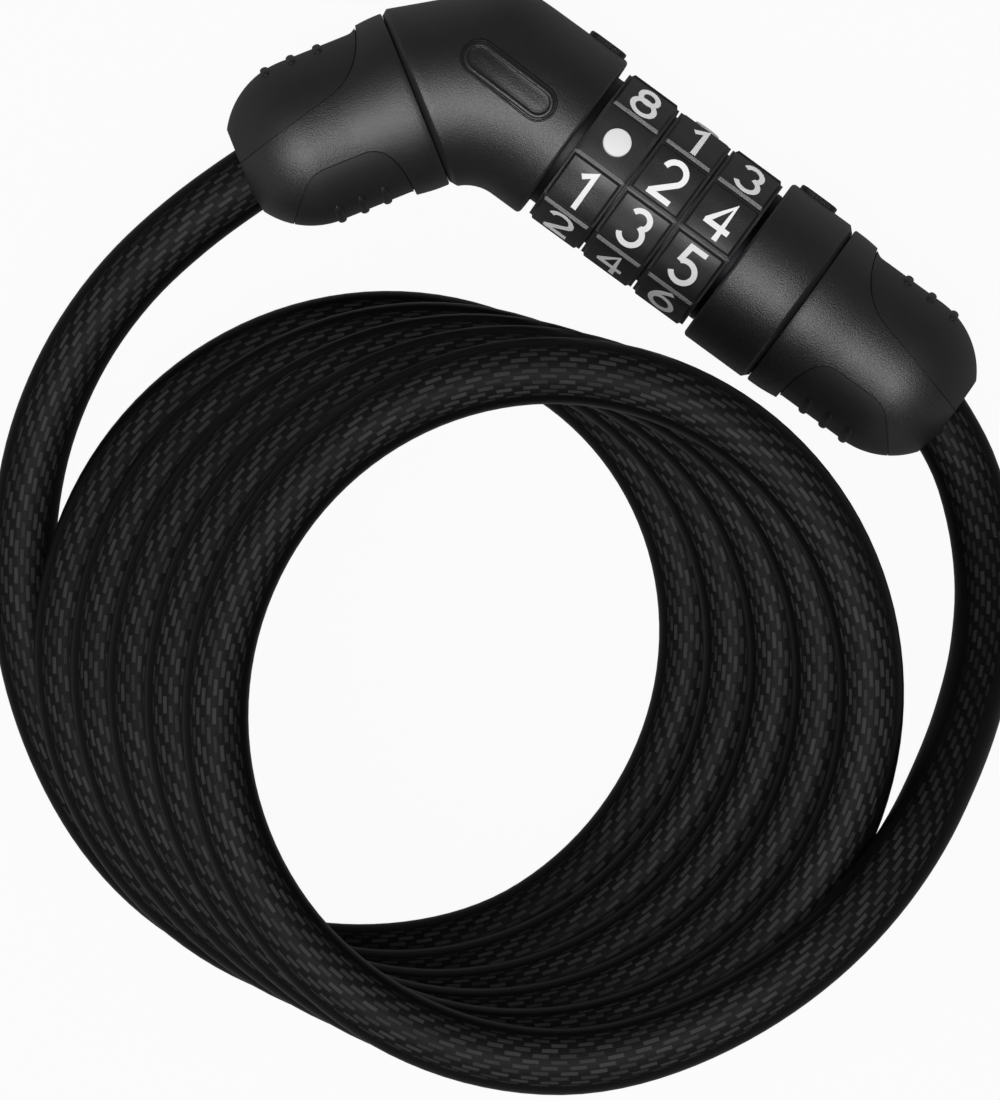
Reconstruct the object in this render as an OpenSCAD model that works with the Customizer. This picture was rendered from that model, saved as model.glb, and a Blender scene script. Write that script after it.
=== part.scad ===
// Combination cable lock: two locking heads, a three-ring dial and a coiled cable.
// X runs along the dial from the elbow head to the plug head, Z is up, and the
// origin is on the flat that the elbow head rests on. Millimetres and degrees.

/* [Housings] */
// Diameter of both head housings
housing_d = 28.6; // [28:0.1:32]
// Depth of the flat that each head rests on
rest_cut = 0.5; // [0.3:0.1:1]
// Chamfer at the dial face of each housing
face_chamfer = 0.6; // [0.3:0.1:1]
// Chamfer at the seam between a housing and its boot
seam_chamfer = 1; // [0.5:0.1:1.5]
// Straight length of the elbow housing before its bend
elbow_straight = 5.1; // [4:0.1:8]
// Centreline radius of the elbow bend
elbow_r = 21; // [19:0.5:26]
// Angle that the elbow housing turns through
elbow_turn = 46.2; // [40:0.2:50]
// Straight length of the elbow housing after its bend
elbow_tail = 4.1; // [3:0.1:8]
// Extra angle of the seam plane on the elbow housing
seam_tilt = 12; // [6:1:14]
// Length of the plug housing from its dial face to its seam
plug_l = 11.9; // [11:0.1:18]
// Length of the index mark on each housing
index_l = 6.6; // [4:0.1:7]
// Width of the index mark
index_w = 3; // [2:0.1:4]
// Height of the index mark
index_h = 0.77; // [0.4:0.01:1.2]

/* [Boots] */
// How far a boot's rim lies inside its housing's surface
rim_step = 0.2; // [0.1:0.05:0.5]
// How far a boot's body lies inside its rim
boot_step = 1.1; // [0.8:0.1:1.6]
// Length of the straight part of the rim
rim_l = 2; // [1:0.1:3]
// Length of a boot up to the start of its dome
dome_s = 17.3; // [16:0.1:22]
// Length of a boot up to its end face
boot_l = 28.56; // [28.4:0.01:29]
// Thickness of the soft grip panels
grip_t = 1.6; // [1:0.1:1.8]
// Diameter of a grip rib
rib_d = 0.9; // [0.6:0.1:1.2]
// Distance between the ribs of the outer panel
outer_rib_gap = 4.35; // [3:0.05:4.6]
// Distance between the ribs of the inner panel
inner_rib_gap = 3.75; // [2.5:0.05:4]
// Diameter of the housing neck inside a boot
neck_d = 19.8; // [18.6:0.1:20.2]
// Length of the housing neck
neck_l = 9.8; // [9:0.1:12]

/* [Dial] */
// Number shown at the index by each ring, with 0 for the dot
shown = [7, 0, 2];
// Direction of the index marks, from straight up towards the far side
index_dir = 93; // [85:1:95]
// Distance across the flats of a number ring
ring_flats = 25.28; // [25:0.02:26]
// Width of a number ring
ring_w = 9.45; // [9.2:0.05:12]
// Gap between number rings
ring_gap = 0.35; // [0.2:0.05:0.8]
// Height of a number pad above its facet
pad_h = 0.43; // [0.2:0.01:0.6]
// Width of the top of a number pad round the ring
pad_w = 7.86; // [7:0.02:8.2]
// Bare edge of a facet at each end of a pad
pad_edge = 0.385; // [0.2:0.005:0.6]
// Length of the slope at each end of a pad
pad_slope = 0.38; // [0.2:0.02:0.8]
// Diameter of the dot on the facet that has no number
dot_d = 4.37; // [3:0.01:6]
// Thickness of the collar between the elbow housing and the rings
collar_t = 1.15; // [0.8:0.05:2]
// Diameter of the collar and of the retaining washer
collar_d = 23; // [22:0.1:24]
// Thickness of the retaining washer
washer_t = 0.8; // [0.6:0.05:1.2]

/* [Mechanism] */
// Diameter of the core tube
core_d = 17.2; // [17:0.1:17.6]
// Length of the core tube inside the elbow housing
core_seat = 8; // [7:0.1:9]
// Length of the core tube past its retaining clip
core_nose = 4.1; // [3:0.1:5]
// Diameter of the bolt
bolt_d = 7.2; // [6.8:0.1:7.4]
// Length of the bolt held inside the plug housing
bolt_seat = 6.3; // [5:0.1:6.3]
// Width of a bolt tooth
tooth_w = 3; // [2.4:0.1:3.2]
// Length of a bolt tooth
tooth_l = 2.8; // [2:0.1:3]
// Distance from the bolt's axis to the top of a tooth
tooth_r = 9.9; // [9.6:0.1:10.1]
// Outer diameter of a code sleeve
sleeve_d = 21; // [20.8:0.1:21.4]
// Length of a code sleeve
sleeve_l = 4.8; // [4:0.1:4.8]
// Diameter of a detent ball
ball_d = 2.4; // [2:0.1:2.6]
// Thickness of the retaining clip
clip_t = 0.8; // [0.6:0.05:1]
// Outer diameter of the retaining clip
clip_d = 19.8; // [19.4:0.1:20]
// Diameter of the cross pins
pin_d = 2.5; // [2:0.1:3]
// Diameter of the set screws that hold the cable ends
screw_d = 3; // [2.5:0.1:4]

/* [Cable] */
// Outside diameter of the cable
cable_d = 10; // [8:0.5:10]
// Diameter of the steel rope inside the cable
rope_d = 6; // [4:0.5:6]
// Wall of the ferrule round the cable end
ferrule_wall = 1.7; // [1:0.1:1.9]
// Radius that the cable bends to inside a boot
exit_r = 50; // [48:1:60]
// Turns in the coil, in twenty-fourths of a turn
coil_steps = 122; // [98:1:122]
// Rise of the coil from loop to loop beyond the cable's diameter
loop_gap = 0.7; // [0.7:0.05:2]

/* [Hidden] */
$fn = 72;

// Clearances
run_fit = 0.08;      // rings and bolt turning or sliding on a shaft, each side
press_gap = 0.02;    // parts pressed or glued together, each side
end_play = 0.1;      // along the dial between parts that turn and parts that don't
tight_play = 0.05;   // along the dial at the washer and the clip
slot_play = 0.2;     // bolt tooth to the sides of the core's slot
notch_play = 0.3;    // bolt tooth to the sides of a sleeve or washer notch
cable_play = 0.3;    // cable to the wall of its channel in a boot
grip_gap = 0.05;     // grip panel to its pocket
bend_lap = 0.5;      // length of a straight bore or body inside the bend that it meets
lap_step = 0.01;     // and how much smaller the body's radius is there
channel_step = 0.05; // and how much smaller the bore's radius is there
nose_gap = 0.5;      // end of the core tube to the bottom of its socket
socket_play = 0.5;   // core tube to the wall of its socket
clip_play = 0.3;     // clip to the wall round it
clip_room = 0.75;    // clip to the step behind it
tip_gap = 0.25;      // tip of the bolt to the bottom of its bore
bore_lead = 0.05;    // bottom of the bolt's bore to the first ring's face
screw_sink = 0.15;   // set screw below the surface of its neck

// Places along the dial
housing_r = housing_d / 2;
axis_z = housing_r - rest_cut;
face_x = 3;
bend_x = face_x - elbow_straight;
dial_x = face_x + collar_t + end_play;
ring_count = len(shown);
ring_pitch = ring_w + ring_gap;
stack_end = dial_x + ring_count * ring_pitch - ring_gap;
washer_x = stack_end + tight_play;
plug_x = washer_x + washer_t + tight_play;
clip_x = plug_x + tight_play;
groove_w = clip_t + 2 * tight_play;
core_x = face_x - core_seat;
core_end = plug_x + groove_w + core_nose;
socket_end = core_end + nose_gap;
seam_x = plug_x + plug_l;

// Core, bolt and sleeves
core_r = core_d / 2;
bolt_r = bolt_d / 2;
bore_r = bolt_r + run_fit;
bore_x = dial_x - bore_lead;
bolt_tip = bore_x + tip_gap;
bolt_chamfer = 0.8;
core_chamfer = 0.5;
groove_r = core_r - 0.6;
clip_opening = 60;
washer_step = 0.1;
sleeve_r = sleeve_d / 2;
sleeve_edge = 0.25;
key_w = 2;
key_h = 0.6;
tooth_edge = 0.9;
spring_seat = bore_r + 0.6;
spring_play = 0.1;
wire_r = 0.15;
curls = 3;
curl_steps = 8;
ball_r = ball_d / 2;
ball_at = core_r - ball_r;
pocket_r = ball_r + 0.05;
flute_r = ball_r + 0.1;
flute_depth = 0.35;
core_pin_x = core_x + 2;
bolt_pin_x = socket_end + bolt_seat / 2 + 0.15;
pin_top = 3;
pin_sink = 0.4;
pin_room = 0.1;
index_back = [0.9, 1.3];

// Facets of a number ring
facets = 9;
facet_turn = 360 / facets;
half_turn = facet_turn / 2;
flat_r = ring_flats / 2;
half_facet = flat_r * tan(half_turn);
bare_drop = 0.05;
end_drop = 0.02;
dot_rise = 0.58;
dot_seat = 0.4;
bare_edge = 0.2;

// Boots, ferrules and their seams
rim_r = housing_r - rim_step;
boot_r = rim_r - boot_step;
shoulder_s = [4.6, 5.5];
shoulder_r = rim_r - 0.5;
neck_r = neck_d / 2;
neck_gap = 0.1;
ferrule_r = cable_d / 2 + ferrule_wall;
exit_n = -2;
left_bend = 11;
right_bend = 22;
seam_spare = 0.1;
left_in = 5.5;
bolt_wall = 0.6;
right_in = seam_x - socket_end - bolt_seat - bolt_wall;
screw_s = 5;
screw_socket = 1.2;
rope_cover = 1;
seam_l = [bend_x - elbow_r * sin(elbow_turn), -elbow_r * (1 - cos(elbow_turn))]
  - elbow_tail * [cos(elbow_turn), sin(elbow_turn)];
left_dir = 180 + elbow_turn + seam_tilt;

// Grip panels: corner, aim and end of each curve of their outlines, and their ribs
far_n = boot_r + 1.5;
outer_curve = [[4.3, far_n], [5.6, 6.2], [12.5, 4.45]];
outer_edge_slope = -0.2487;
inner_front = [[5.3, -far_n], [5.6, -5.2], [10.5, -5.2]];
inner_back = [[17, -5.2], [19.2, -5.2], [20.6, -6.6]];
inner_end = [28, -far_n];
outer_rib_s = 11.2;
inner_rib_s = 9.8;
outer_rib_spread = 25;
inner_rib_spread = 33;

// Height of the cable above the boot's axis where a bend of the given angle starts,
// so that the cable leaves the boot's end at exit_n
function entry_n(bend) = exit_n + exit_r * (1 - cos(bend))
  + (boot_l - neck_l - exit_r * sin(bend)) * tan(bend);
left_n = entry_n(left_bend);
right_n = entry_n(right_bend);

// Cable route: the tails' points from each ferrule to the coil
tail_z = cable_d / 2;
left_route = [
  [-28.6, -22.5, 13.8], [-30.9, -28.2, 13.8], [-33.5, -35, 13.7], [-37, -46, 12.7],
  [-39.3, -58, 10.6], [-39.3, -71, 8.2], [-36.2, -85, 6.1], [-29.6, -98.6, 5.2], [-20, -111, 5],
  [-7.8, -120.8, 5], [5.8, -127.6, 5], [20, -131, 5], [32.5, -131.2, 5]
];
right_route = [
  [62, 1.3, 13.8], [68.3, 0.1, 13.8], [74.6, -2.1, 13.8], [80.5, -5, 14.2], [87, -10, 16.2],
  [93.5, -17, 20.2], [99, -26, 27], [102.8, -36, 36], [105.2, -46.5, 45.6], [106.6, -57, 53],
  [106.8, -68, 57.8]
];

// Coil: a loop every 360 degrees that drifts and widens a little as it climbs
loop_steps = 24;
loop_rise = cable_d + loop_gap;
coil_start = [22, -81.5];
coil_half = [49.6, 50.7];
coil_drift = [6.36, 1.86];
coil_phase = -53.8;
coil_growth = 0.005;
lead_turns = 0.14;
climb = [0.15, 0.75];
function climb_z(u) = let (h = loop_rise * (climb[1] + lead_turns), w = climb[1] - climb[0])
  h * (3 * u * u - 2 * u * u * u) + loop_rise * w * (u * u * u - u * u);
function coil_z(t) = tail_z + (t < climb[0] ? 0
  : t < climb[1] ? climb_z((t - climb[0]) / (climb[1] - climb[0]))
  : loop_rise * (t + lead_turns));
function coil_point(t) = let (a = coil_phase + 360 * t, k = 1 + coil_growth * (t - 2.5)) [
  coil_start.x + coil_drift.x * t + coil_half.x * k * cos(a),
  coil_start.y + coil_drift.y * t + coil_half.y * k * sin(a),
  coil_z(t)
];
function unit(v) = v / norm(v);
function coil_dir(t) = unit(coil_point(t + 0.001) - coil_point(t - 0.001));
coil_turns = coil_steps / loop_steps;
coil_first = coil_point(0) - cable_d * coil_dir(0);
coil_last = coil_point(coil_turns) + cable_d * coil_dir(coil_turns);
coil_path = concat(
  [coil_first],
  [for (i = [0:coil_steps]) coil_point(i / loop_steps)],
  [coil_last]
);

// Least gap between loops, on the ring centres and on points three times as close
fine_path = [for (i = [0:3 * coil_steps]) coil_point(i / (3 * loop_steps))];
loop_gaps = [for (i = [0:coil_steps], j = [3 * i + 36:3 * coil_steps])
  norm(fine_path[3 * i] - fine_path[j])];
echo(least_coil_gap = min(loop_gaps) - cable_d);

// A ring of points round p, square to t, with its first point lowest
function ring_points(p, t, r, sides) = let (s = unit(cross(t, [0, 0, 1])), u = cross(s, t))
  [for (i = [0:sides - 1]) p + r * (sin(360 * i / sides) * s - cos(360 * i / sides) * u)];
function path_dir(path, i, first, last) =
  i == 0 ? first
  : i == len(path) - 1 ? last
  : unit(unit(path[i + 1] - path[i]) + unit(path[i] - path[i - 1]));

// Round tube along a path, in triangles, with its end faces square to first and last
module tube(path, r, sides, first, last) {
  rings = len(path);
  top = (rings - 1) * sides;
  points = [for (i = [0:rings - 1]) each ring_points(path[i], path_dir(path, i, first, last), r, sides)];
  walls = [for (i = [0:rings - 2], j = [0:sides - 1])
    let (a = i * sides + j, b = i * sides + (j + 1) % sides)
    each [[a, b, a + sides], [b, b + sides, a + sides]]];
  caps = [for (j = [1:sides - 2]) each [[0, j + 1, j], [top, top + j, top + j + 1]]];
  polyhedron(points, concat(walls, caps));
}

// Placing: along the dial, towards a direction round it, and behind each seam
module on_axis() { translate([0, 0, axis_z]) children(); }
module lengthwise() { rotate([90, 0, 90]) children(); }
module facing(angle) { rotate([-angle, 0, 0]) children(); }
module rod(x0, x1, r) { translate([x0, 0, 0]) rotate([0, 90, 0]) cylinder(h = x1 - x0, r = r); }
module rim(x0, x1, inner, outer) {
  difference() {
    rod(x0, x1, outer);
    rod(x0 - 1, x1 + 1, inner);
  }
}
module at_left() {
  translate([seam_l.x, seam_l.y, axis_z]) rotate(left_dir) mirror([0, 1, 0]) children();
}
module at_right() { translate([seam_x, 0, axis_z]) children(); }
module above_table() {
  difference() {
    children();
    translate([-150, -150, -50]) cube([300, 300, 50]);
  }
}

// Cuts the rim of a housing to a cone at its seam, in the seam's own frame
module seam_cutter(tilt) {
  wide = housing_r + 4;
  big = housing_r / cos(tilt) + seam_spare;
  difference() {
    rod(-seam_chamfer, 60, wide);
    translate([-seam_chamfer, 0, 0]) rotate([0, 90, 0])
      cylinder(h = seam_chamfer, r1 = big, r2 = big - seam_chamfer);
  }
}

// Raised mark on a housing, from x0 to x0 + index_l
module index_mark(x0) {
  w = index_w / 2;
  facing(index_dir) translate([0, 0, housing_r - 2]) linear_extrude(height = 2 + index_h) {
    translate([x0 + w, -w]) square([index_l - 2 * w, 2 * w]);
    translate([x0 + w, 0]) circle(r = w);
    translate([x0 + index_l - w, 0]) circle(r = w);
  }
}

// Pockets for a cable end in a seam's frame: ferrule and set screw
module end_pockets(n, depth) {
  translate([0, n, 0]) rod(-depth, neck_l + 1, ferrule_r + press_gap);
  translate([screw_s, n, -neck_r - 1]) cylinder(h = neck_r + 1, d = screw_d + 2 * press_gap);
}

module elbow_bend() {
  translate([bend_x, -elbow_r, 0]) rotate(90) rotate_extrude(angle = elbow_turn)
    translate([elbow_r, 0]) circle(d = housing_d);
}

module elbow_outside() {
  difference() {
    union() {
      rod(bend_x, face_x - face_chamfer, housing_r);
      translate([face_x - face_chamfer, 0, 0]) rotate([0, 90, 0])
        cylinder(h = face_chamfer, r1 = housing_r, r2 = housing_r - face_chamfer);
      elbow_bend();
      translate([seam_l.x, seam_l.y, 0]) rotate(180 + elbow_turn)
        rod(-elbow_tail - bend_lap, 5, housing_r - lap_step);
    }
    translate([seam_l.x, seam_l.y, 0]) rotate(left_dir) seam_cutter(seam_tilt);
  }
}

module elbow_housing() {
  color("#2c2c2c") above_table() difference() {
    union() {
      on_axis() elbow_outside();
      on_axis() index_mark(face_x - index_back[0] - index_l);
      at_left() rod(-1, neck_l, neck_r);
    }
    on_axis() rod(core_x, face_x + 1, core_r + press_gap);
    at_left() end_pockets(left_n, left_in);
    cross_hole(core_pin_x);
  }
}

module right_housing() {
  color("#2c2c2c") above_table() difference() {
    union() {
      on_axis() difference() {
        union() {
          translate([plug_x, 0, 0]) rotate([0, 90, 0])
            cylinder(h = face_chamfer, r1 = housing_r - face_chamfer, r2 = housing_r);
          rod(plug_x + face_chamfer, seam_x + 1, housing_r);
        }
        translate([seam_x, 0, 0]) seam_cutter(0);
      }
      on_axis() index_mark(plug_x + index_back[1]);
      at_right() rod(-1, neck_l, neck_r);
    }
    on_axis() rod(plug_x - 1, clip_x + clip_t + clip_room, clip_d / 2 + clip_play);
    on_axis() rod(plug_x - 1, socket_end, core_r + socket_play);
    on_axis() rod(socket_end - 1, socket_end + bolt_seat, bolt_r + press_gap);
    at_right() end_pockets(right_n, right_in);
    cross_hole(bolt_pin_x);
  }
}

// Cross pins go in from below and end above the dial's axis
module cross_hole(x) {
  translate([x, 0, -1]) cylinder(h = 1 + axis_z + pin_top + pin_room, d = pin_d + 2 * press_gap);
}
module cross_pin(x) {
  translate([x, 0, pin_sink]) cylinder(h = axis_z + pin_top - pin_sink, d = pin_d);
}
module core_pin() { color("#b8b8b8") cross_pin(core_pin_x); }
module bolt_pin() { color("#b8b8b8") cross_pin(bolt_pin_x); }

// Boot: a revolved body with a domed end, drawn thinner by skin for what lies under it
module boot_profile(skin) {
  polygon([
    [0, 0], [rim_r - skin, 0], [rim_r - skin, rim_l], [shoulder_r - skin, shoulder_s[0]],
    [boot_r - skin, shoulder_s[1]], [boot_r - skin, dome_s], [0, dome_s]
  ]);
  intersection() {
    translate([0, dome_s]) circle(r = boot_r - skin);
    square([boot_r, boot_l + skin]);
  }
}
module boot_solid(skin) { lengthwise() rotate_extrude(angle = 360) boot_profile(skin); }

// Channel of the cable through a boot, from the ferrule to past the boot's end
module cable_channel(bend, n) {
  channel_r = cable_d / 2 + cable_play;
  run = (boot_l - neck_l - exit_r * sin(bend)) / cos(bend);
  straight_r = channel_r - channel_step;
  translate([neck_l, n - exit_r, 0]) {
    rotate(90 - bend) rotate_extrude(angle = bend) translate([exit_r, 0]) circle(r = channel_r);
    translate([exit_r * sin(bend), exit_r * cos(bend), 0]) rotate(-bend)
      rod(-bend_lap, run + 6, straight_r);
  }
  translate([0, n, 0]) rod(neck_l - 1, neck_l + bend_lap, straight_r);
}

// Round corner between two straight edges, as a curve from a to c that aims at b
function curve(a, b, c) = [for (i = [0:6]) let (t = i / 6)
  a * (1 - t) * (1 - t) + b * 2 * t * (1 - t) + c * t * t];
function outer_outline(i) = let (c = outer_curve, s2 = boot_l + 1) concat(
  curve(c[0] + [i, 0], c[1] + [i, i], c[2] + [0, i]),
  [[s2, c[2].y + i + (s2 - c[2].x) * outer_edge_slope], [s2, far_n]]
);
function inner_outline(i) = let (a = inner_front, b = inner_back) concat(
  curve(a[0] + [i, 0], a[1] + [i, -i], a[2] - [0, i]),
  curve(b[0] - [0, i], b[1] - [i, i], b[2] - [i, i]),
  [inner_end - [i, 0]]
);
module panel_space(outline, skin) {
  difference() {
    translate([0, 0, -20]) linear_extrude(height = 40) polygon(outline);
    boot_solid(skin);
  }
}
module boot(bend, n) {
  color("#2f2f2f") difference() {
    boot_solid(0);
    panel_space(outer_outline(0), grip_t);
    panel_space(inner_outline(0), grip_t);
    rod(-1, neck_l + neck_gap, neck_r + neck_gap);
    cable_channel(bend, n);
  }
}

// Ribs stand half proud of a panel, on the side that it faces
module rib(s, side, spread) {
  r = s < dome_s ? boot_r : sqrt(boot_r * boot_r - (s - dome_s) * (s - dome_s));
  translate([s, 0, 0]) lengthwise() rotate(side - spread) rotate_extrude(angle = 2 * spread)
    translate([r, 0]) circle(d = rib_d);
}
module outer_grip(bend, n) {
  color("#262626") difference() {
    union() {
      intersection() {
        boot_solid(0);
        panel_space(outer_outline(grip_gap), grip_t - grip_gap);
      }
      for (i = [0:2]) rib(outer_rib_s + i * outer_rib_gap, 0, outer_rib_spread);
    }
    cable_channel(bend, n);
    boot_solid(grip_t - grip_gap);
  }
}
module inner_grip(bend, n) {
  color("#262626") difference() {
    union() {
      intersection() {
        boot_solid(0);
        panel_space(inner_outline(grip_gap), grip_t - grip_gap);
      }
      for (i = [0:2]) rib(inner_rib_s + i * inner_rib_gap, 180, inner_rib_spread);
    }
    cable_channel(bend, n);
    boot_solid(grip_t - grip_gap);
  }
}
module left_boot() { above_table() at_left() boot(left_bend, left_n); }
module left_outer_grip() { at_left() outer_grip(left_bend, left_n); }
module left_inner_grip() { at_left() inner_grip(left_bend, left_n); }
module right_boot() { above_table() at_right() boot(right_bend, right_n); }
module right_outer_grip() { at_right() outer_grip(right_bend, right_n); }
module right_inner_grip() { at_right() inner_grip(right_bend, right_n); }

// Cable ends: a ferrule crimped on the steel rope and held by a set screw
module ferrule(n, depth) {
  color("#c9c9c9") translate([0, n, 0]) difference() {
    rod(-depth, neck_l, ferrule_r);
    rod(rope_cover - depth, neck_l + 1, rope_d / 2 + press_gap);
  }
}
module rope_end(n, depth) {
  color("#8f8f8f") translate([0, n, 0]) rod(rope_cover - depth, neck_l, rope_d / 2);
}
function screw_out(n) = sqrt(pow(neck_r, 2) - pow(abs(n) + screw_d / 2, 2)) - screw_sink;
module anchor_screw(n) {
  translate([screw_s, n, -screw_out(n)]) color("#9a9a9a") difference() {
    cylinder(h = screw_out(n) - ferrule_r - press_gap, d = screw_d);
    translate([0, 0, -1]) cylinder(h = 1 + screw_socket, d = 0.57 * screw_d, $fn = 6);
  }
}
module left_ferrule() { at_left() ferrule(left_n, left_in); }
module left_rope_end() { at_left() rope_end(left_n, left_in); }
module left_anchor_screw() { at_left() anchor_screw(left_n); }
module right_ferrule() { at_right() ferrule(right_n, right_in); }
module right_rope_end() { at_right() rope_end(right_n, right_in); }
module right_anchor_screw() { at_right() anchor_screw(right_n); }

function ring_x(k) = dial_x + (k - 1) * ring_pitch;
function sleeve_x(k) = ring_x(k) + ring_w - sleeve_edge - sleeve_l;

// Core tube: bored for the bolt, slotted for its teeth and pocketed for the detents
module core_tube() {
  color("#a8a8a8") on_axis() difference() {
    union() {
      rod(core_x, core_end - core_chamfer, core_r);
      translate([core_end - core_chamfer, 0, 0]) rotate([0, 90, 0])
        cylinder(h = core_chamfer, r1 = core_r, r2 = core_r - core_chamfer);
    }
    rod(bore_x, core_end + 1, bore_r);
    tooth_space(bore_x, core_end + 1, slot_play, core_r + 1);
    rim(plug_x, plug_x + groove_w, groove_r, core_r + 1);
    for (k = [1:ring_count]) {
      translate([sleeve_x(k) + sleeve_l / 2, 0, 0]) facing(index_dir + 180)
        translate([0, 0, spring_seat]) cylinder(h = 10, r = pocket_r);
    }
    translate([0, 0, -axis_z]) cross_hole(core_pin_x);
  }
}
// Room for a bolt tooth from x0 to x1, with play at each side
module tooth_space(x0, x1, play, r) {
  w = tooth_w + 2 * play;
  facing(index_dir) translate([x0, -w / 2, 0]) cube([x1 - x0, w, r]);
}
module dial_spacer() {
  color("#1e1e1e") on_axis() rim(face_x, face_x + collar_t, core_r + press_gap, collar_d / 2);
}
module ring_retainer() {
  color("#8c8c8c") on_axis() difference() {
    rim(washer_x, washer_x + washer_t, core_r + tight_play, collar_d / 2 + washer_step);
    tooth_space(washer_x - 1, washer_x + washer_t + 1, notch_play, tooth_r + notch_play);
  }
}
module core_circlip() {
  color("#8c8c8c") on_axis() difference() {
    rim(clip_x, clip_x + clip_t, groove_r + tight_play, clip_d / 2);
    facing(index_dir) translate([clip_x - 1, 0, 0]) rotate([0, 90, 0])
      rotate(180 - clip_opening / 2) rotate_extrude(angle = clip_opening) square([clip_d, clip_t + 2]);
  }
}

// Detents: a ball and a spring in a pocket of the core, opposite the slot
module at_detent(k) {
  on_axis() translate([sleeve_x(k) + sleeve_l / 2, 0, 0]) facing(index_dir + 180) children();
}
module detent_ball(k) { color("#d0d0d0") at_detent(k) translate([0, 0, ball_at]) sphere(r = ball_r); }
module detent_spring(k) {
  rise = ball_at - ball_r - spring_seat - 2 * wire_r - 2 * tight_play;
  r = ball_r - wire_r - spring_play;
  last = curls * curl_steps;
  path = [for (i = [0:last]) let (a = 360 * i / curl_steps)
    [r * cos(a), r * sin(a), spring_seat + wire_r + tight_play + rise * i / last]];
  color("#b0b0b0") at_detent(k)
    tube(path, wire_r, 6, unit([0, r, rise / curls / 6]), unit([0, r, rise / curls / 6]));
}

// Number ring: a nine-sided ring with a raised pad on every facet but the dot's
function bare_dir(k) = index_dir + facet_turn * shown[k - 1];
function facet_point(dir, u, v) = [v * sin(dir) + u * cos(dir), v * cos(dir) - u * sin(dir)];
module ring_section(k) {
  polygon([for (i = [0:facets - 1])
    let (
      dir = bare_dir(k) + i * facet_turn,
      half = i == 0 ? half_facet - bare_edge : pad_w / 2,
      rise = i == 0 ? -bare_drop : pad_h
    )
    each [
      facet_point(dir, -half_facet, flat_r),
      facet_point(dir, -half, flat_r + rise),
      facet_point(dir, half, flat_r + rise)
    ]
  ]);
}
module pad_envelope(k) {
  low = (flat_r - end_drop) / cos(half_turn);
  high = (flat_r + 2 * pad_h) / cos(half_turn);
  slope_l = pad_slope * (2 * pad_h + end_drop) / (pad_h + end_drop);
  rotate(90 - bare_dir(k) + half_turn) rotate_extrude(angle = 360, $fn = facets) polygon([
    [0, 0], [low, 0], [low, pad_edge], [high, pad_edge + slope_l],
    [high, ring_w - pad_edge - slope_l], [low, ring_w - pad_edge], [low, ring_w], [0, ring_w]
  ]);
}
module number_ring(k) {
  color("#1c1c1c") on_axis() difference() {
    translate([ring_x(k), 0, 0]) lengthwise() intersection() {
      linear_extrude(height = ring_w) ring_section(k);
      pad_envelope(k);
    }
    rod(ring_x(k) - 1, ring_x(k) + ring_w + 1, sleeve_r + tight_play);
    sleeve_key(ring_x(k) - 1, ring_x(k) + ring_w + 1, tight_play);
    facing(bare_dir(k)) translate([ring_x(k) + ring_w / 2, 0, flat_r - dot_seat])
      cylinder(h = 3, d = dot_d + 2 * press_gap);
  }
}
module number_dot(k) {
  color("#e2e2e2") on_axis() facing(bare_dir(k))
    translate([ring_x(k) + ring_w / 2, 0, flat_r - dot_seat])
    cylinder(h = dot_seat + dot_rise, d = dot_d);
}

// Code sleeve: turns with its ring on the core, and lets the tooth pass at its notch
module sleeve_key(x0, x1, play) {
  facing(index_dir + 180) translate([x0, -key_w / 2 - play, sleeve_r - 1])
    cube([x1 - x0, key_w + 2 * play, 1 + key_h + play]);
}
module code_sleeve(k) {
  x0 = sleeve_x(k);
  color("#b9a46a") on_axis() difference() {
    union() {
      rod(x0, x0 + sleeve_l, sleeve_r);
      sleeve_key(x0, x0 + sleeve_l, 0);
    }
    rod(x0 - 1, x0 + sleeve_l + 1, core_r + run_fit);
    tooth_space(x0 - 1, x0 + sleeve_l + 1, notch_play, sleeve_r + 1);
    for (i = [0:facets - 1]) {
      facing(index_dir + 180 + i * facet_turn)
        translate([0, 0, core_r + run_fit + flute_depth - flute_r]) rod(x0 - 1, x0 + sleeve_l + 1, flute_r);
    }
  }
}

// Bolt: slides in the core's bore with one tooth ahead of each sleeve
module bolt() {
  color("#b5b5b5") on_axis() difference() {
    union() {
      translate([bolt_tip, 0, 0]) rotate([0, 90, 0])
        cylinder(h = bolt_chamfer, r1 = bolt_r - bolt_chamfer, r2 = bolt_r);
      rod(bolt_tip + bolt_chamfer, socket_end + bolt_seat, bolt_r);
      for (k = [1:ring_count]) bolt_tooth(ring_x(k) + tooth_edge);
    }
    translate([0, 0, -axis_z]) cross_hole(bolt_pin_x);
  }
}
module bolt_tooth(x0) {
  intersection() {
    tooth_space(x0, x0 + tooth_l, 0, tooth_r + 1);
    rod(x0, x0 + tooth_l, tooth_r);
  }
}

// Cable: two tails and the coil between them, each tail from its ferrule
function turned(v, angle) = [v.x * cos(angle) - v.y * sin(angle), v.x * sin(angle) + v.y * cos(angle)];
left_exit = [cos(left_dir), sin(left_dir), 0];
left_mouth = seam_l + turned([neck_l, -left_n], left_dir);
module cable_left_tail() {
  path = concat([[left_mouth.x, left_mouth.y, axis_z]], left_route, [coil_first]);
  color("#1f1f1f") tube(path, cable_d / 2, 12, left_exit, coil_dir(0));
}
module cable_coil() {
  color("#1f1f1f") tube(coil_path, cable_d / 2, 6, coil_dir(0), coil_dir(coil_turns));
}
module cable_right_tail() {
  path = concat([[seam_x + neck_l, right_n, axis_z]], right_route, [coil_last]);
  color("#1f1f1f") tube(path, cable_d / 2, 12, [1, 0, 0], -coil_dir(coil_turns));
}

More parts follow.
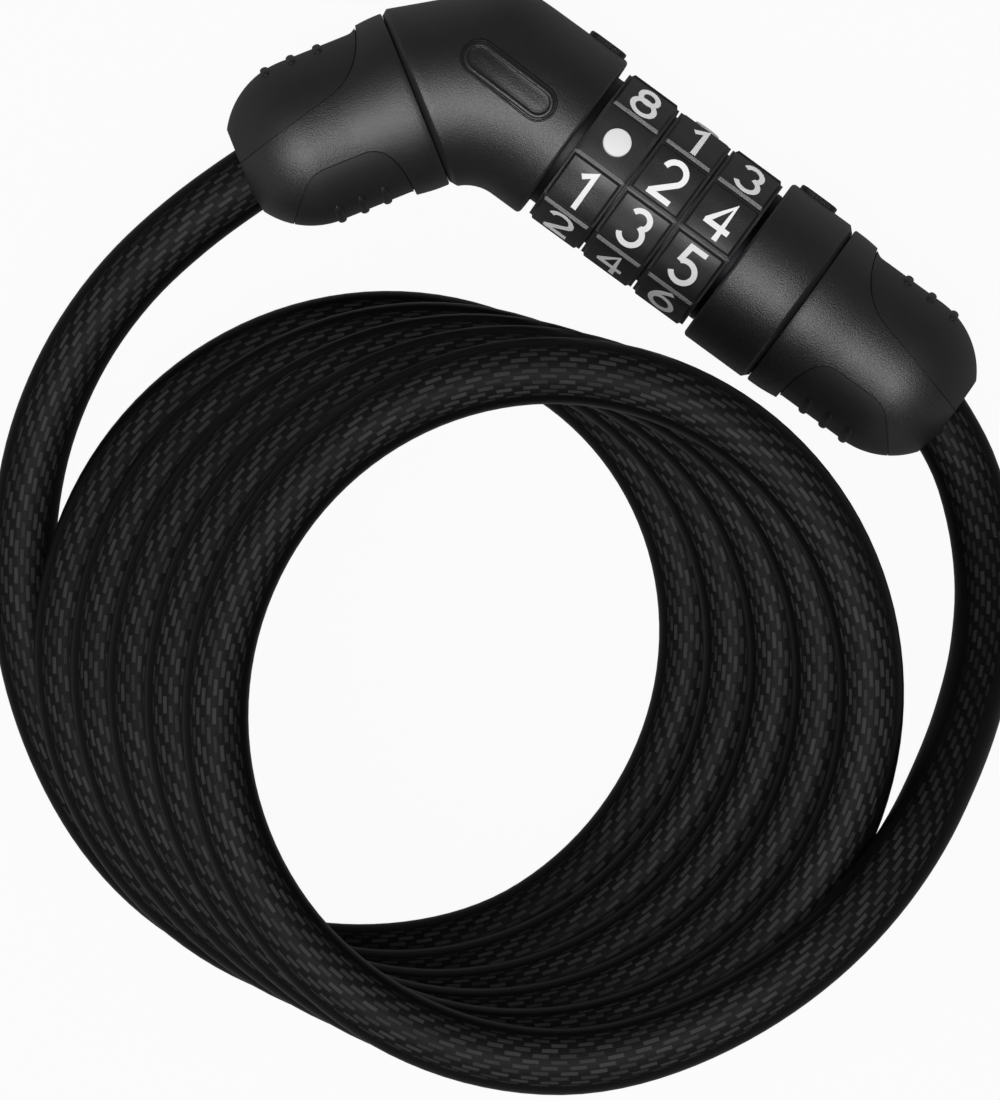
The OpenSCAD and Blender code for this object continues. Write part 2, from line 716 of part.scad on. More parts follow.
elbow_housing();
left_boot();
left_outer_grip();
left_inner_grip();
left_ferrule();
left_rope_end();
left_anchor_screw();
core_tube();
core_pin();
dial_spacer();
ring_retainer();
core_circlip();
for (k = [1:ring_count]) {
  detent_ball(k);
  detent_spring(k);
  number_ring(k);
  number_dot(k);
  code_sleeve(k);
}
right_housing();
bolt();
bolt_pin();
right_boot();
right_outer_grip();
right_inner_grip();
right_ferrule();
right_rope_end();
right_anchor_screw();
cable_left_tail();
cable_coil();
cable_right_tail();
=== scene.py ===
# Combination cable lock: two black heads, a dial of three number rings between them, and
# a coiled cable with a clear smoked jacket over a braided core.
# Metres in Blender; the pieces below are drawn in millimetres. X runs along the dial, Z is up.
import math

import bmesh
import bpy
from mathutils import Matrix, Vector


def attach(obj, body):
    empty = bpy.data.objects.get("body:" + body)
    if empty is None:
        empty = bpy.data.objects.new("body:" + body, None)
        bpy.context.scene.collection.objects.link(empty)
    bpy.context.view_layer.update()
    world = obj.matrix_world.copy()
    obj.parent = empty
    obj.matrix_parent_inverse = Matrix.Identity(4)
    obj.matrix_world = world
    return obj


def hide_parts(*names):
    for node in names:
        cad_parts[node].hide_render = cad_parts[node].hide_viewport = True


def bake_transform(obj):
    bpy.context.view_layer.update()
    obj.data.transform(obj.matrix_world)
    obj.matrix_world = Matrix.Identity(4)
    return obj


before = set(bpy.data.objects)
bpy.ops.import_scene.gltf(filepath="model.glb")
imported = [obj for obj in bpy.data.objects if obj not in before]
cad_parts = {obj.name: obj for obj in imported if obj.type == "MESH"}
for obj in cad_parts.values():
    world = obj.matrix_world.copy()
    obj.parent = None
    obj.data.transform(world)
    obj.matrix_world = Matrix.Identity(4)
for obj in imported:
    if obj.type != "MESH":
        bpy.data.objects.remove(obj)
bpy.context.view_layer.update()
mm = 0.001
print("frame loaded")


# Small helpers: colours, nodes and meshes
def linear(hexCode):
    parts = [int(hexCode[i:i + 2], 16) / 255 for i in (1, 3, 5)]
    return tuple([c / 12.92 if c <= 0.04045 else ((c + 0.055) / 1.055) ** 2.4 for c in parts] + [1])


def addNode(tree, kind, inputs=None, **settings):
    made = tree.nodes.new("ShaderNode" + kind)
    for name, value in settings.items():
        setattr(made, name, value)
    for name, value in (inputs or {}).items():
        if isinstance(value, bpy.types.NodeSocket):
            tree.links.new(value, made.inputs[name])
        else:
            made.inputs[name].default_value = value
    return made


def newMaterial(name):
    material = bpy.data.materials.new(name)
    material.use_nodes = True
    tree = material.node_tree
    tree.nodes.clear()
    return material, tree


def finishMaterial(tree, shader):
    addNode(tree, "OutputMaterial", {"Surface": shader.outputs[0]})


def newPiece(name, points, faces, material=None, slot=None, body=None, sharpAngle=32):
    # A shape without a material is only a tool for others
    mesh = bpy.data.meshes.new(name)
    mesh.from_pydata([(x * mm, y * mm, z * mm) for x, y, z in points], [], faces)
    work = bmesh.new()
    work.from_mesh(mesh)
    bmesh.ops.remove_doubles(work, verts=work.verts, dist=1e-6)
    bmesh.ops.recalc_face_normals(work, faces=work.faces)
    work.to_mesh(mesh)
    work.free()
    mesh.shade_smooth()
    mesh.set_sharp_from_angle(angle=math.radians(sharpAngle))
    piece = bpy.data.objects.new(name, mesh)
    bpy.context.scene.collection.objects.link(piece)
    if material:
        mesh.materials.append(material)
        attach(piece, body)
    return piece


def loft(rings, closed=(True, True)):
    # Quads between rings of equal length, with a flat face over each closed end
    count = len(rings[0])
    points = [p for ring in rings for p in ring]
    faces = []
    for i in range(len(rings) - 1):
        for j in range(count):
            k = (j + 1) % count
            faces.append((i * count + j, i * count + k, (i + 1) * count + k, (i + 1) * count + j))
    if closed[0]:
        faces.append(tuple(range(count))[::-1])
    if closed[1]:
        faces.append(tuple(range(len(points) - count, len(points))))
    return points, faces


def applyModifier(piece, kind, **settings):
    # Runs one modifier and keeps its result as the piece's mesh
    modifier = piece.modifiers.new(kind, kind)
    for name, value in settings.items():
        setattr(modifier, name, value)
    graph = bpy.context.evaluated_depsgraph_get()
    made = bpy.data.meshes.new_from_object(piece.evaluated_get(graph))
    piece.modifiers.clear()
    old = piece.data
    made.name = old.name
    piece.data = made
    bpy.data.meshes.remove(old)


def combine(piece, tool, operation="DIFFERENCE", sharpAngle=32, keepTool=False):
    applyModifier(piece, "BOOLEAN", operation=operation, solver="EXACT", object=tool)
    if not keepTool:
        bpy.data.objects.remove(tool)
    piece.data.shade_smooth()
    piece.data.set_sharp_from_angle(angle=math.radians(sharpAngle))


def bezier(a, b, c, steps=10):
    # Curve from a to c, drawn towards b
    a, b, c = Vector(a), Vector(b), Vector(c)
    shares = [i / steps for i in range(steps + 1)]
    return [tuple(a.lerp(b, t).lerp(b.lerp(c, t), t)) for t in shares]


def rounded(before, corner, after, size):
    # Fillet at the middle of three profile points
    before, corner, after = Vector(before), Vector(corner), Vector(after)
    start = corner + (before - corner).normalized() * size
    end = corner + (after - corner).normalized() * size
    return bezier(start, corner, end, 5)


def softEdge(top, edge):
    # Insets and heights of the rounded upper edge of a raised mark
    return [(0, top - edge), (edge * 0.3, top - edge * 0.3), (edge, top)]


# Camera: straight above, turned so that the dial runs down to the right
cameraSettings = {
    "place": (0.03116, -0.05759, 1.6),
    "turn": 36.2,
    "lens": 372.8,
    "sensor": 36,
    "clipEnd": 20,
}
turn = math.radians(cameraSettings["turn"])
right = Vector((math.cos(turn), math.sin(turn), 0))
up = Vector((-math.sin(turn), math.cos(turn), 0))
cameraData = bpy.data.cameras.new("camera")
cameraData.sensor_fit = "HORIZONTAL"
cameraData.sensor_width = cameraSettings["sensor"]
cameraData.lens = cameraSettings["lens"]
cameraData.clip_end = cameraSettings["clipEnd"]
camera = bpy.data.objects.new("camera", cameraData)
bpy.context.scene.collection.objects.link(camera)
camera.matrix_world = Matrix((
    (right.x, up.x, 0, cameraSettings["place"][0]),
    (right.y, up.y, 0, cameraSettings["place"][1]),
    (0, 0, 1, cameraSettings["place"][2]),
    (0, 0, 0, 1),
))
bpy.context.scene.camera = camera
bpy.context.scene.view_settings.view_transform = "Standard"
print("camera placed")

# Places of the heads in millimetres, as in the part's source
axisZ = 13.8                          # height of the dial's axis
housingR = 14.3
seamLeft = Vector((-20.095, -9.424))  # middle of the seam between housing and boot
angleLeft = math.radians(238.2)       # way that the elbow's boot points
seamRight = Vector((46.1, 0))
bendX = -2.1                          # where the elbow's bend starts
bendR = 21
bendTurn = 46.2


def bootPoint(side, s, n, z):
    # From a boot's own frame (s out along it, n to its outer side) to the table's
    if side == "left":
        d = Vector((math.cos(angleLeft), math.sin(angleLeft)))
        w = Vector((d.y, -d.x))
        p = seamLeft + d * s + w * n
        return (p.x, p.y, axisZ + z)
    return (seamRight.x + s, n, axisZ + z)


# Cable: braided core in a smoked PVC jacket
cableSettings = {
    "jacketD": 10,
    "coreR": 3.9,
    "sides": 32,
    "step": 2.5,           # spacing of the rings along the tails
    "coilStep": 1 / 120,   # and along the coil, in turns
    "coilTurns": 122 / 24,
    "rise": 10.7,          # height gained in a turn
    "lead": 0.14,          # turns by which the height runs ahead
    "climb": (0.15, 0.75),  # turns between which the first loop leaves the table
    "centre": (22, -81.5),
    "drift": (6.36, 1.86),  # sideways in a turn
    "half": (49.6, 50.7),  # half the coil's width, along x and y
    "phase": -53.8,
    "growth": 0.005,       # share by which each turn is wider
    "growthFrom": 2.5,
    "runOut": 10,          # straight length at both ends of the coil
    "mouthS": 9.8,         # place of the cable's ends, from the seam into the boot
    "mouthN": {"left": 0.71, "right": 1.65},
    "relaxReach": 14,      # rings either side of a joint that are evened out
    "relaxRounds": 40,
    "relaxShare": 0.6,
    "leftRoute": [
        (-28.6, -22.5, 13.8), (-30.9, -28.2, 13.8), (-33.5, -35, 13.7), (-37, -46, 12.7),
        (-39.3, -58, 10.6), (-39.3, -71, 8.2), (-36.2, -85, 6.1), (-29.6, -98.6, 5.2),
        (-20, -111, 5), (-7.8, -120.8, 5), (5.8, -127.6, 5), (20, -131, 5), (32.5, -131.2, 5),
    ],
    "rightRoute": [
        (62, 1.3, 13.8), (68.3, 0.1, 13.8), (74.6, -2.1, 13.8), (80.5, -5, 14.2), (87, -10, 16.2),
        (93.5, -17, 20.2), (99, -26, 27), (102.8, -36, 36), (105.2, -46.5, 45.6),
        (106.6, -57, 53), (106.8, -68, 57.8),
    ],
}


def coilPoint(t):
    # Middle of the cable, t turns into the coil
    c = cableSettings
    a = math.radians(c["phase"] + 360 * t)
    k = 1 + c["growth"] * (t - c["growthFrom"])
    low, high = c["climb"]
    if t < low:
        lift = 0
    elif t < high:
        u = (t - low) / (high - low)
        top = c["rise"] * (high + c["lead"])
        lift = top * (3 * u * u - 2 * u ** 3) + c["rise"] * (high - low) * (u ** 3 - u * u)
    else:
        lift = c["rise"] * (t + c["lead"])
    return Vector((
        c["centre"][0] + c["drift"][0] * t + c["half"][0] * k * math.cos(a),
        c["centre"][1] + c["drift"][1] * t + c["half"][1] * k * math.sin(a),
        c["jacketD"] / 2 + lift,
    ))


def coilDirection(t):
    return (coilPoint(t + 0.001) - coilPoint(t - 0.001)).normalized()


def smoothRoute(points, startDirection, endDirection, step):
    # Smooth curve through the points, with its direction given at both ends
    points = [Vector(p) for p in points]
    tangents = [startDirection]
    for before, here, after in zip(points, points[1:], points[2:]):
        a, b = here - before, after - here
        tangents.append((a / a.length * b.length + b / b.length * a.length) / (a.length + b.length))
    tangents.append(endDirection)
    made = []
    for i, (p, q) in enumerate(zip(points, points[1:])):
        span = (q - p).length
        count = max(1, round(span / step))
        for j in range(count):
            u = j / count
            made.append(
                (2 * u ** 3 - 3 * u * u + 1) * p + (u ** 3 - 2 * u * u + u) * span * tangents[i]
                + (3 * u * u - 2 * u ** 3) * q + (u ** 3 - u * u) * span * tangents[i + 1]
            )
    return made + [points[-1]]


def sweep(name, path, radius, startLength, material, body, ends, closed=(True, True)):
    # Round tube with a UV map: u once round it, v its length in metres
    sides = cableSettings["sides"]
    angles = [2 * math.pi * (j / sides + 0.5) for j in range(sides)]  # from underneath
    rings, lengths, total = [], [], startLength
    between = [(after - before).normalized() for before, after in zip(path, path[2:])]
    for i, (p, direction) in enumerate(zip(path, [ends[0]] + between + [ends[1]])):
        side = direction.cross(Vector((0, 0, 1))).normalized()
        top = side.cross(direction)
        if i:
            total += (p - path[i - 1]).length
        lengths.append(total * mm)
        spokes = [math.cos(a) * top + math.sin(a) * side for a in angles]
        rings.append([tuple((p + radius * out) * mm) for out in spokes])
    points, faces = loft(rings, closed)
    mesh = bpy.data.meshes.new(name)
    mesh.from_pydata(points, [], faces)
    layer = mesh.uv_layers.new(name="UVMap")
    for polygon in mesh.polygons:
        if polygon.loop_total != 4:
            continue
        j = polygon.index % sides
        i = polygon.index // sides
        corners = ((j, i), (j + 1, i), (j + 1, i + 1), (j, i + 1))
        for loop, (cu, cv) in zip(polygon.loop_indices, corners):
            layer.data[loop].uv = (cu / sides, lengths[cv])
    mesh.shade_smooth()
    mesh.set_sharp_from_angle(angle=math.radians(60))
    mesh.materials.append(material)
    piece = bpy.data.objects.new(name, mesh)
    bpy.context.scene.collection.objects.link(piece)
    if body:
        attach(piece, body)
    return piece, total


# Polyester yarn braided over the steel rope, dark and matt: short floats of yarn lie along the
# cable, each a third of a repeat further on than its neighbour. The floats' tone differs at random;
# the darker ground between them and their fading sides and ends are painted shade in the hollows of
# the braid
yarnSettings = {
    "columns": 27,         # floats round the core, 0.9 mm apart
    "repeat": 4.25 * mm,   # length of one repeat along the cable
    "offset": 1 / 3,       # step of a repeat from column to column
    "sides": (0.28, 0.4),  # share of a column, out from its middle, where a float fades out
    "ends": (0.26, 0.32),  # and share of a repeat
    "relief": 0.12 * mm,
    "yarnLight": "#3e3e3e",
    "yarnDark": "#2b2b2b",
    # painted shade in the hollows between the floats
    "groundShade": "#161616",
}
yarnMaterial, tree = newMaterial("polyesterBraidBlack")
uv = addNode(tree, "UVMap", uv_map="UVMap")
split = addNode(tree, "SeparateXYZ", {0: uv.outputs[0]})
column = addNode(tree, "Math", {
    0: split.outputs[0], 1: yarnSettings["columns"],
}, operation="MULTIPLY")
along = addNode(tree, "Math", {
    0: split.outputs[1], 1: yarnSettings["repeat"],
}, operation="DIVIDE")
columnIndex = addNode(tree, "Math", {0: column.outputs[0]}, operation="FLOOR")
row = addNode(tree, "Math", {
    0: columnIndex.outputs[0], 1: yarnSettings["offset"], 2: along.outputs[0],
}, operation="MULTIPLY_ADD")
rowIndex = addNode(tree, "Math", {0: row.outputs[0]}, operation="FLOOR")
floats = []
for counted, (fadeFrom, fadeTo) in ((column, yarnSettings["sides"]), (row, yarnSettings["ends"])):
    part = addNode(tree, "Math", {0: counted.outputs[0]}, operation="FRACT")
    fromMiddle = addNode(tree, "Math", {0: part.outputs[0], 1: 0.5}, operation="SUBTRACT")
    fromMiddle = addNode(tree, "Math", {0: fromMiddle.outputs[0]}, operation="ABSOLUTE")
    floats.append(addNode(tree, "MapRange", {
        "Value": fromMiddle.outputs[0], "From Min": fadeFrom, "From Max": fadeTo,
        "To Min": 1, "To Max": 0,
    }, interpolation_type="SMOOTHSTEP"))
onFloat = addNode(tree, "Math", {
    0: floats[0].outputs[0], 1: floats[1].outputs[0],
}, operation="MULTIPLY")
cell = addNode(tree, "CombineXYZ", {0: columnIndex.outputs[0], 1: rowIndex.outputs[0]})
chance = addNode(tree, "TexWhiteNoise", {"Vector": cell.outputs[0]}, noise_dimensions="2D")
yarnColour = addNode(tree, "Mix", {
    "Factor": chance.outputs[0], 6: linear(yarnSettings["yarnDark"]),
    7: linear(yarnSettings["yarnLight"]),
}, data_type="RGBA")
# Painted shade: the ground between the floats, and the floats' fading sides and ends, are darker
braidShadedColour = addNode(tree, "Mix", {
    "Factor": onFloat.outputs[0], 6: linear(yarnSettings["groundShade"]), 7: yarnColour.outputs[2],
}, data_type="RGBA")
raised = addNode(tree, "Bump", {
    "Height": onFloat.outputs[0], "Strength": 0.6, "Distance": yarnSettings["relief"],
})
shader = addNode(tree, "BsdfPrincipled", {
    "Base Color": braidShadedColour.outputs[2], "Roughness": 0.6, "IOR": 1.55, "Specular IOR Level": 0.12,
    "Normal": raised.outputs[0],
})
finishMaterial(tree, shader)

# Soft PVC, extruded and smoked: clear where the eye looks straight through it, and dark
# at a glance, where the look runs a long way through its wall
jacketSettings = {
    "tint": "#0b0b0d",
    "clearTo": 0.27,   # facing value up to which the core shows
    "darkFrom": 0.37,  # and from which the jacket looks solid, which is beside the core
    "clearAlpha": 0.12,
    "rippleScale": 140,  # faint waves that the die leaves, 7 mm apart
    "rippleDepth": 0.3 * mm,
}
jacketMaterial, tree = newMaterial("smokedPvcJacket")
glance = addNode(tree, "LayerWeight", {"Blend": 0.5})
cover = addNode(tree, "MapRange", {
    "Value": glance.outputs["Facing"], "From Min": jacketSettings["clearTo"],
    "From Max": jacketSettings["darkFrom"], "To Min": jacketSettings["clearAlpha"], "To Max": 1,
}, interpolation_type="SMOOTHSTEP")
place = addNode(tree, "TexCoord")
ripple = addNode(tree, "TexNoise", {
    "Vector": place.outputs["Object"], "Scale": jacketSettings["rippleScale"], "Detail": 2,
})
skin = addNode(tree, "Bump", {
    "Height": ripple.outputs[0], "Strength": 0.25, "Distance": jacketSettings["rippleDepth"],
})
shader = addNode(tree, "BsdfPrincipled", {
    "Base Color": linear(jacketSettings["tint"]), "Roughness": 0.28, "IOR": 1.53,
    "Specular IOR Level": 0.07, "Alpha": cover.outputs[0], "Normal": skin.outputs[0],
})
finishMaterial(tree, shader)

# The cable's whole line, from the elbow head's mouth round the coil to the plug head's mouth
leftMouth, rightMouth = [
    Vector(bootPoint(side, cableSettings["mouthS"], n, 0))
    for side, n in cableSettings["mouthN"].items()
]
leftExit = Vector((math.cos(angleLeft), math.sin(angleLeft), 0))
turns = cableSettings["coilTurns"]
coilFirst = coilPoint(0) - cableSettings["runOut"] * coilDirection(0)
coilLast = coilPoint(turns) + cableSettings["runOut"] * coilDirection(turns)
leftLine = smoothRoute(
    [leftMouth] + cableSettings["leftRoute"] + [coilFirst], leftExit, coilDirection(0),
    cableSettings["step"]
)
coilCount = round(turns / cableSettings["coilStep"])
coilLine = [coilPoint(turns * i / coilCount) for i in range(coilCount + 1)]
quarters = (0.25, 0.5, 0.75)
lead = [coilFirst.lerp(coilLine[0], share) for share in quarters]
tail = [coilLine[-1].lerp(coilLast, share) for share in quarters]
rightLine = smoothRoute(
    [coilLast] + cableSettings["rightRoute"][::-1] + [rightMouth], coilDirection(turns),
    Vector((-1, 0, 0)), cableSettings["step"]
)
wholeLine = leftLine + lead + coilLine + tail + rightLine
coilStart, joint = len(leftLine) - 1, len(wholeLine) - len(rightLine)


def relax(line, middle):
    # Evens out the bend where the coil runs into a tail
    reach = cableSettings["relaxReach"]
    for _ in range(cableSettings["relaxRounds"]):
        before = [p.copy() for p in line]
        for i in range(middle - reach, middle + reach + 1):
            share = math.cos(math.pi / 2 * (i - middle) / (reach + 1)) ** 2
            share *= cableSettings["relaxShare"]
            line[i] = before[i].lerp((before[i - 1] + before[i + 1]) / 2, share)


relax(wholeLine, coilStart)
relax(wholeLine, joint)
mainLine, rightLine = wholeLine[:joint + 1], wholeLine[joint:]
coilLast = wholeLine[joint]
jointDirection = (wholeLine[joint + 1] - wholeLine[joint - 1]).normalized()
mainEnds = (leftExit, jointDirection)
rightEnds = (jointDirection, Vector((-1, 0, 0)))
mainCore, mainLength = sweep(
    "cableCore", mainLine, cableSettings["coreR"], 0, yarnMaterial,
    "elbow_head", mainEnds
)
# The jacket runs on without an end face where the two lengths meet
mainJacket, _ = sweep(
    "cableJacket", mainLine, cableSettings["jacketD"] / 2, 0, jacketMaterial,
    "elbow_head", mainEnds, (True, False)
)
rightCore, wholeLength = sweep(
    "plugCableCore", rightLine, cableSettings["coreR"], mainLength, yarnMaterial,
    None, rightEnds
)
rightJacket, _ = sweep(
    "plugCableJacket", rightLine, cableSettings["jacketD"] / 2, mainLength, jacketMaterial,
    None, rightEnds, (False, True)
)
for piece in (rightCore, rightJacket):
    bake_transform(piece)
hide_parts("cable_left_tail", "cable_coil")
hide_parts("cable_right_tail")
print("cable laid, mm:", round(wholeLength))


# What all moulded plastics and turned metals share
finishSettings = {
    "noiseRange": (0.3, 0.7),  # where most of a noise lies
    "cloudScale": 90,          # slow change of a plastic's colour, once in 11 mm
    "plasticSpread": 0.05,     # roughness up and down from its middle
    "metalSpread": 0.08,
    "spotScale": 260,          # change of a metal's colour, once in 4 mm
    "lineScale": 60,           # its tool lines run on for 17 mm
}


def finishSurface(tree, settings, pattern, patches, strength, spread, constants):
    # Colour follows broad patches; gloss and relief follow the fine pattern
    colour = addNode(tree, "Mix", {
        "Factor": patches.outputs[0], 6: linear(settings["dark"]), 7: linear(settings["light"]),
    }, data_type="RGBA")
    low, high = finishSettings["noiseRange"]
    gloss = addNode(tree, "MapRange", {
        "Value": pattern.outputs[0], "From Min": low, "From Max": high,
        "To Min": settings["roughness"] - spread, "To Max": settings["roughness"] + spread,
    })
    relief = addNode(tree, "Bump", {
        "Height": pattern.outputs[0], "Strength": strength, "Distance": settings["depth"] * mm,
    })
    finishMaterial(tree, addNode(tree, "BsdfPrincipled", {
        "Base Color": colour.outputs[2], "Roughness": gloss.outputs[0],
        "Normal": relief.outputs[0], **constants,
    }))


# Moulded plastics. Spark-eroded moulds leave a fine stipple, which breaks up the edge of
# each highlight; grain is its spacing and depth its height, both in millimetres
def mouldedPlastic(name, settings):
    material, tree = newMaterial(name)
    place = addNode(tree, "TexCoord")
    stipple = addNode(tree, "TexNoise", {
        "Vector": place.outputs["Object"], "Scale": 1 / (settings["grain"] * mm), "Detail": 2,
        "Roughness": 0.7,
    })
    clouds = addNode(tree, "TexNoise", {
        "Vector": place.outputs["Object"], "Scale": finishSettings["cloudScale"], "Detail": 3,
    })
    finishSurface(tree, settings, stipple, clouds, 1, finishSettings["plasticSpread"], {
        "IOR": settings["ior"], "Specular IOR Level": settings["specular"],
    })
    return material


# Glass-filled nylon, moulded black with a satin stipple
housingMaterial = mouldedPlastic("nylonSatinBlack", {
    "dark": "#1c1c1d", "light": "#212122", "roughness": 0.38, "ior": 1.53, "specular": 0.75,
    "grain": 0.23, "depth": 0.066,
})
# Thermoplastic elastomer moulded over the cable's end, a little more matt
bootMaterial = mouldedPlastic("elastomerSatinBlack", {
    "dark": "#1c1c1d", "light": "#212122", "roughness": 0.39, "ior": 1.5, "specular": 0.8,
    "grain": 0.23, "depth": 0.066,
})
# Softer rubber of the grip panels, with a finer skin
gripMaterial = mouldedPlastic("rubberMattBlack", {
    "dark": "#1b1b1c", "light": "#202021", "roughness": 0.48, "ior": 1.52, "specular": 0.6,
    "grain": 0.19, "depth": 0.032,
})
# ABS number rings, moulded smoother, so that they hold a sharper sheen
ringMaterial = mouldedPlastic("absBlack", {
    "dark": "#1b1b1c", "light": "#212122", "roughness": 0.4, "ior": 1.54, "specular": 0.9,
    "grain": 0.23, "depth": 0.045,
})
# Acetal collar, black and slightly waxy
collarMaterial = mouldedPlastic("acetalBlack", {
    "dark": "#121213", "light": "#161617", "roughness": 0.42, "ior": 1.48, "specular": 0.3,
    "grain": 0.5, "depth": 0.006,
})
# Pad-printed ink of the numbers, a thin white film
inkMaterial = mouldedPlastic("padPrintWhite", {
    "dark": "#f0f0f0", "light": "#f7f7f7", "roughness": 0.5, "ior": 1.5, "specular": 0.4,
    "grain": 0.3, "depth": 0.004,
})
# White ABS plug set in each ring as its dot
dotMaterial = mouldedPlastic("absWhite", {
    "dark": "#e1e1e1", "light": "#e9e9e9", "roughness": 0.45, "ior": 1.54, "specular": 0.4,
    "grain": 0.5, "depth": 0.004,
})


# Metals of the works inside. The tool's lines run round turned parts, so the noise is
# squeezed along the dial; pitch is their spacing in millimetres
def turnedMetal(name, settings):
    material, tree = newMaterial(name)
    place = addNode(tree, "TexCoord")
    run = finishSettings["lineScale"]
    squeezed = addNode(tree, "Mapping", {
        "Vector": place.outputs["Object"], "Scale": (1 / (settings["pitch"] * mm), run, run),
    })
    lines = addNode(tree, "TexNoise", {"Vector": squeezed.outputs[0], "Scale": 1, "Detail": 3})
    spots = addNode(tree, "TexNoise", {
        "Vector": place.outputs["Object"], "Scale": finishSettings["spotScale"], "Detail": 4,
    })
    finishSurface(tree, settings, lines, spots, 0.5, finishSettings["metalSpread"], {"Metallic": 1})
    return material


# Hardened steel with a bright zinc plating, for the bolt, pins and screws
steelMaterial = turnedMetal("zincPlatedSteel", {
    "dark": "#a9acb0", "light": "#c9ccce", "roughness": 0.32, "pitch": 0.12, "depth": 0.006,
})
# The washer and clip beside the dial are the same steel, coloured near black as painted shade, so
# that they don't show in the gap beside the dial
gapShadeSteelMaterial = turnedMetal("steelDarkAsGapShade", {
    "dark": "#1d1d1f", "light": "#2a2a2c", "roughness": 0.45, "pitch": 0.12, "depth": 0.006,
})
# Zinc alloy, die cast and barrelled: greyer and softer than plated steel
castMaterial = turnedMetal("dieCastZinc", {
    "dark": "#85878a", "light": "#9fa1a4", "roughness": 0.42, "pitch": 0.3, "depth": 0.01,
})
# Turned brass of the code sleeves
brassMaterial = turnedMetal("turnedBrass", {
    "dark": "#a8843c", "light": "#cfae63", "roughness": 0.3, "pitch": 0.15, "depth": 0.006,
})
# Stainless spring wire and balls, drawn and polished
wireMaterial = turnedMetal("polishedStainless", {
    "dark": "#b8babc", "light": "#d4d5d6", "roughness": 0.2, "pitch": 0.2, "depth": 0.003,
})
# Aluminium ferrule, pressed on the rope, with a dull skin
ferruleMaterial = turnedMetal("pressedAluminium", {
    "dark": "#a3a5a7", "light": "#bfc1c2", "roughness": 0.45, "pitch": 0.25, "depth": 0.008,
})

# Galvanised steel rope inside the ferrules: bright wire with painted shade in the gaps between its
# wires, wound aslant, over a matching relief. The bands are 6.5 mm apart, coarser than its strands
ropeSettings = {"bandScale": 1 / 0.018, "gap": "#4c4e50", "wire": "#a6a8aa", "relief": 0.08 * mm}
ropeMaterial, tree = newMaterial("galvanisedRope")
place = addNode(tree, "TexCoord")
wave = addNode(tree, "TexWave", {
    "Vector": place.outputs["Object"], "Scale": ropeSettings["bandScale"],
    "Distortion": 0.6, "Detail": 2,
}, bands_direction="DIAGONAL")
# Painted shade: the gaps between the wires are darker
colour = addNode(tree, "Mix", {
    "Factor": wave.outputs[0], 6: linear(ropeSettings["gap"]), 7: linear(ropeSettings["wire"]),
}, data_type="RGBA")
relief = addNode(tree, "Bump", {
    "Height": wave.outputs[0], "Strength": 1, "Distance": ropeSettings["relief"],
})
shader = addNode(tree, "BsdfPrincipled", {
    "Base Color": colour.outputs[2], "Metallic": 1, "Roughness": 0.4, "Normal": relief.outputs[0],
})
finishMaterial(tree, shader)

nodeFinishes = {
    "core_tube": castMaterial, "core_pin": steelMaterial, "bolt": steelMaterial,
    "bolt_pin": steelMaterial, "dial_spacer": collarMaterial,
    "ring_retainer": gapShadeSteelMaterial, "core_circlip": gapShadeSteelMaterial,
}
for side in ("left", "right"):
    nodeFinishes[side + "_ferrule"] = ferruleMaterial
    nodeFinishes[side + "_rope_end"] = ropeMaterial
    nodeFinishes[side + "_anchor_screw"] = steelMaterial
for k in (1, 2, 3):
    nodeFinishes[f"detent_ball_{k}"] = wireMaterial
    nodeFinishes[f"detent_spring_{k}"] = wireMaterial
    nodeFinishes[f"code_sleeve_{k}"] = brassMaterial
for name, material in nodeFinishes.items():
    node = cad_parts[name]
    if not node.material_slots:
        node.data.materials.append(material)
    for holder in node.material_slots:
        holder.material = material
print("materials made")


# Heads: the elbow housing follows the bend, the plug housing is straight
housingSettings = {
    "count": 144,       # points round a housing
    "elbowX": 3,        # dial face of the elbow housing
    "plugX": 34.2,      # dial face of the plug housing
    "faceRound": 0.65,
    "faceSteps": (0, 15, 30, 45, 60, 75, 90),
    "tail": 4.1,        # straight length from the bend to the seam
    "tailShares": (0.33, 0.66),
    "bendSteps": 36,
    "corner": 30,       # sharpness of the outer side's corner
    "cornerFrom": 0.45,  # cosine up the side where the corner starts to stand out
    "seamWidth": 4.2,   # the seam's face, in from the outside
    # x and radius: the hole for the core tube in the elbow, and the socket of the plug
    "coreHole": [(-4.9, 8.62), (2.9, 8.62), (3, 8.75)],
    "socket": [
        (39.7, 9.1), (35.9, 9.1), (35.8, 9.2), (35.8, 10.2), (34.4, 10.2), (34.16, 10.4),
        (34.16, 11.5), (34.2, 11.54),
    ],
    "elbowSteps": (1.6, 0.4, -0.8),
    "plugSteps": (38, 41.5),
    # Chamfer at the seam: back from the seam, and in from the outside
    "seam": [(1, 0), (0.93, 0.03), (0.84, 0.11), (0.5, 0.46), (0.16, 0.8), (0.06, 0.9), (0, 1.02)],
}


def roundSection(centre, lateral, radius):
    # Circle square to a head's axis, flattened where the head rests on the table
    count = housingSettings["count"]
    section = []
    for i in range(count):
        a = 2 * math.pi * (i + 0.5) / count
        out = radius * math.cos(a)
        z = max(axisZ + radius * math.sin(a), 0)
        section.append((centre.x + lateral.x * out, centre.y + lateral.y * out, z))
    return section


def faceRounding(x, sign):
    # Profile points of the rounded edge at a dial face; sign is the way out of the head
    size = housingSettings["faceRound"]
    profile = []
    for degrees in housingSettings["faceSteps"]:
        a = math.radians(degrees)
        profile.append((x - sign * size * (1 - math.cos(a)), housingR - size * (1 - math.sin(a))))
    return profile


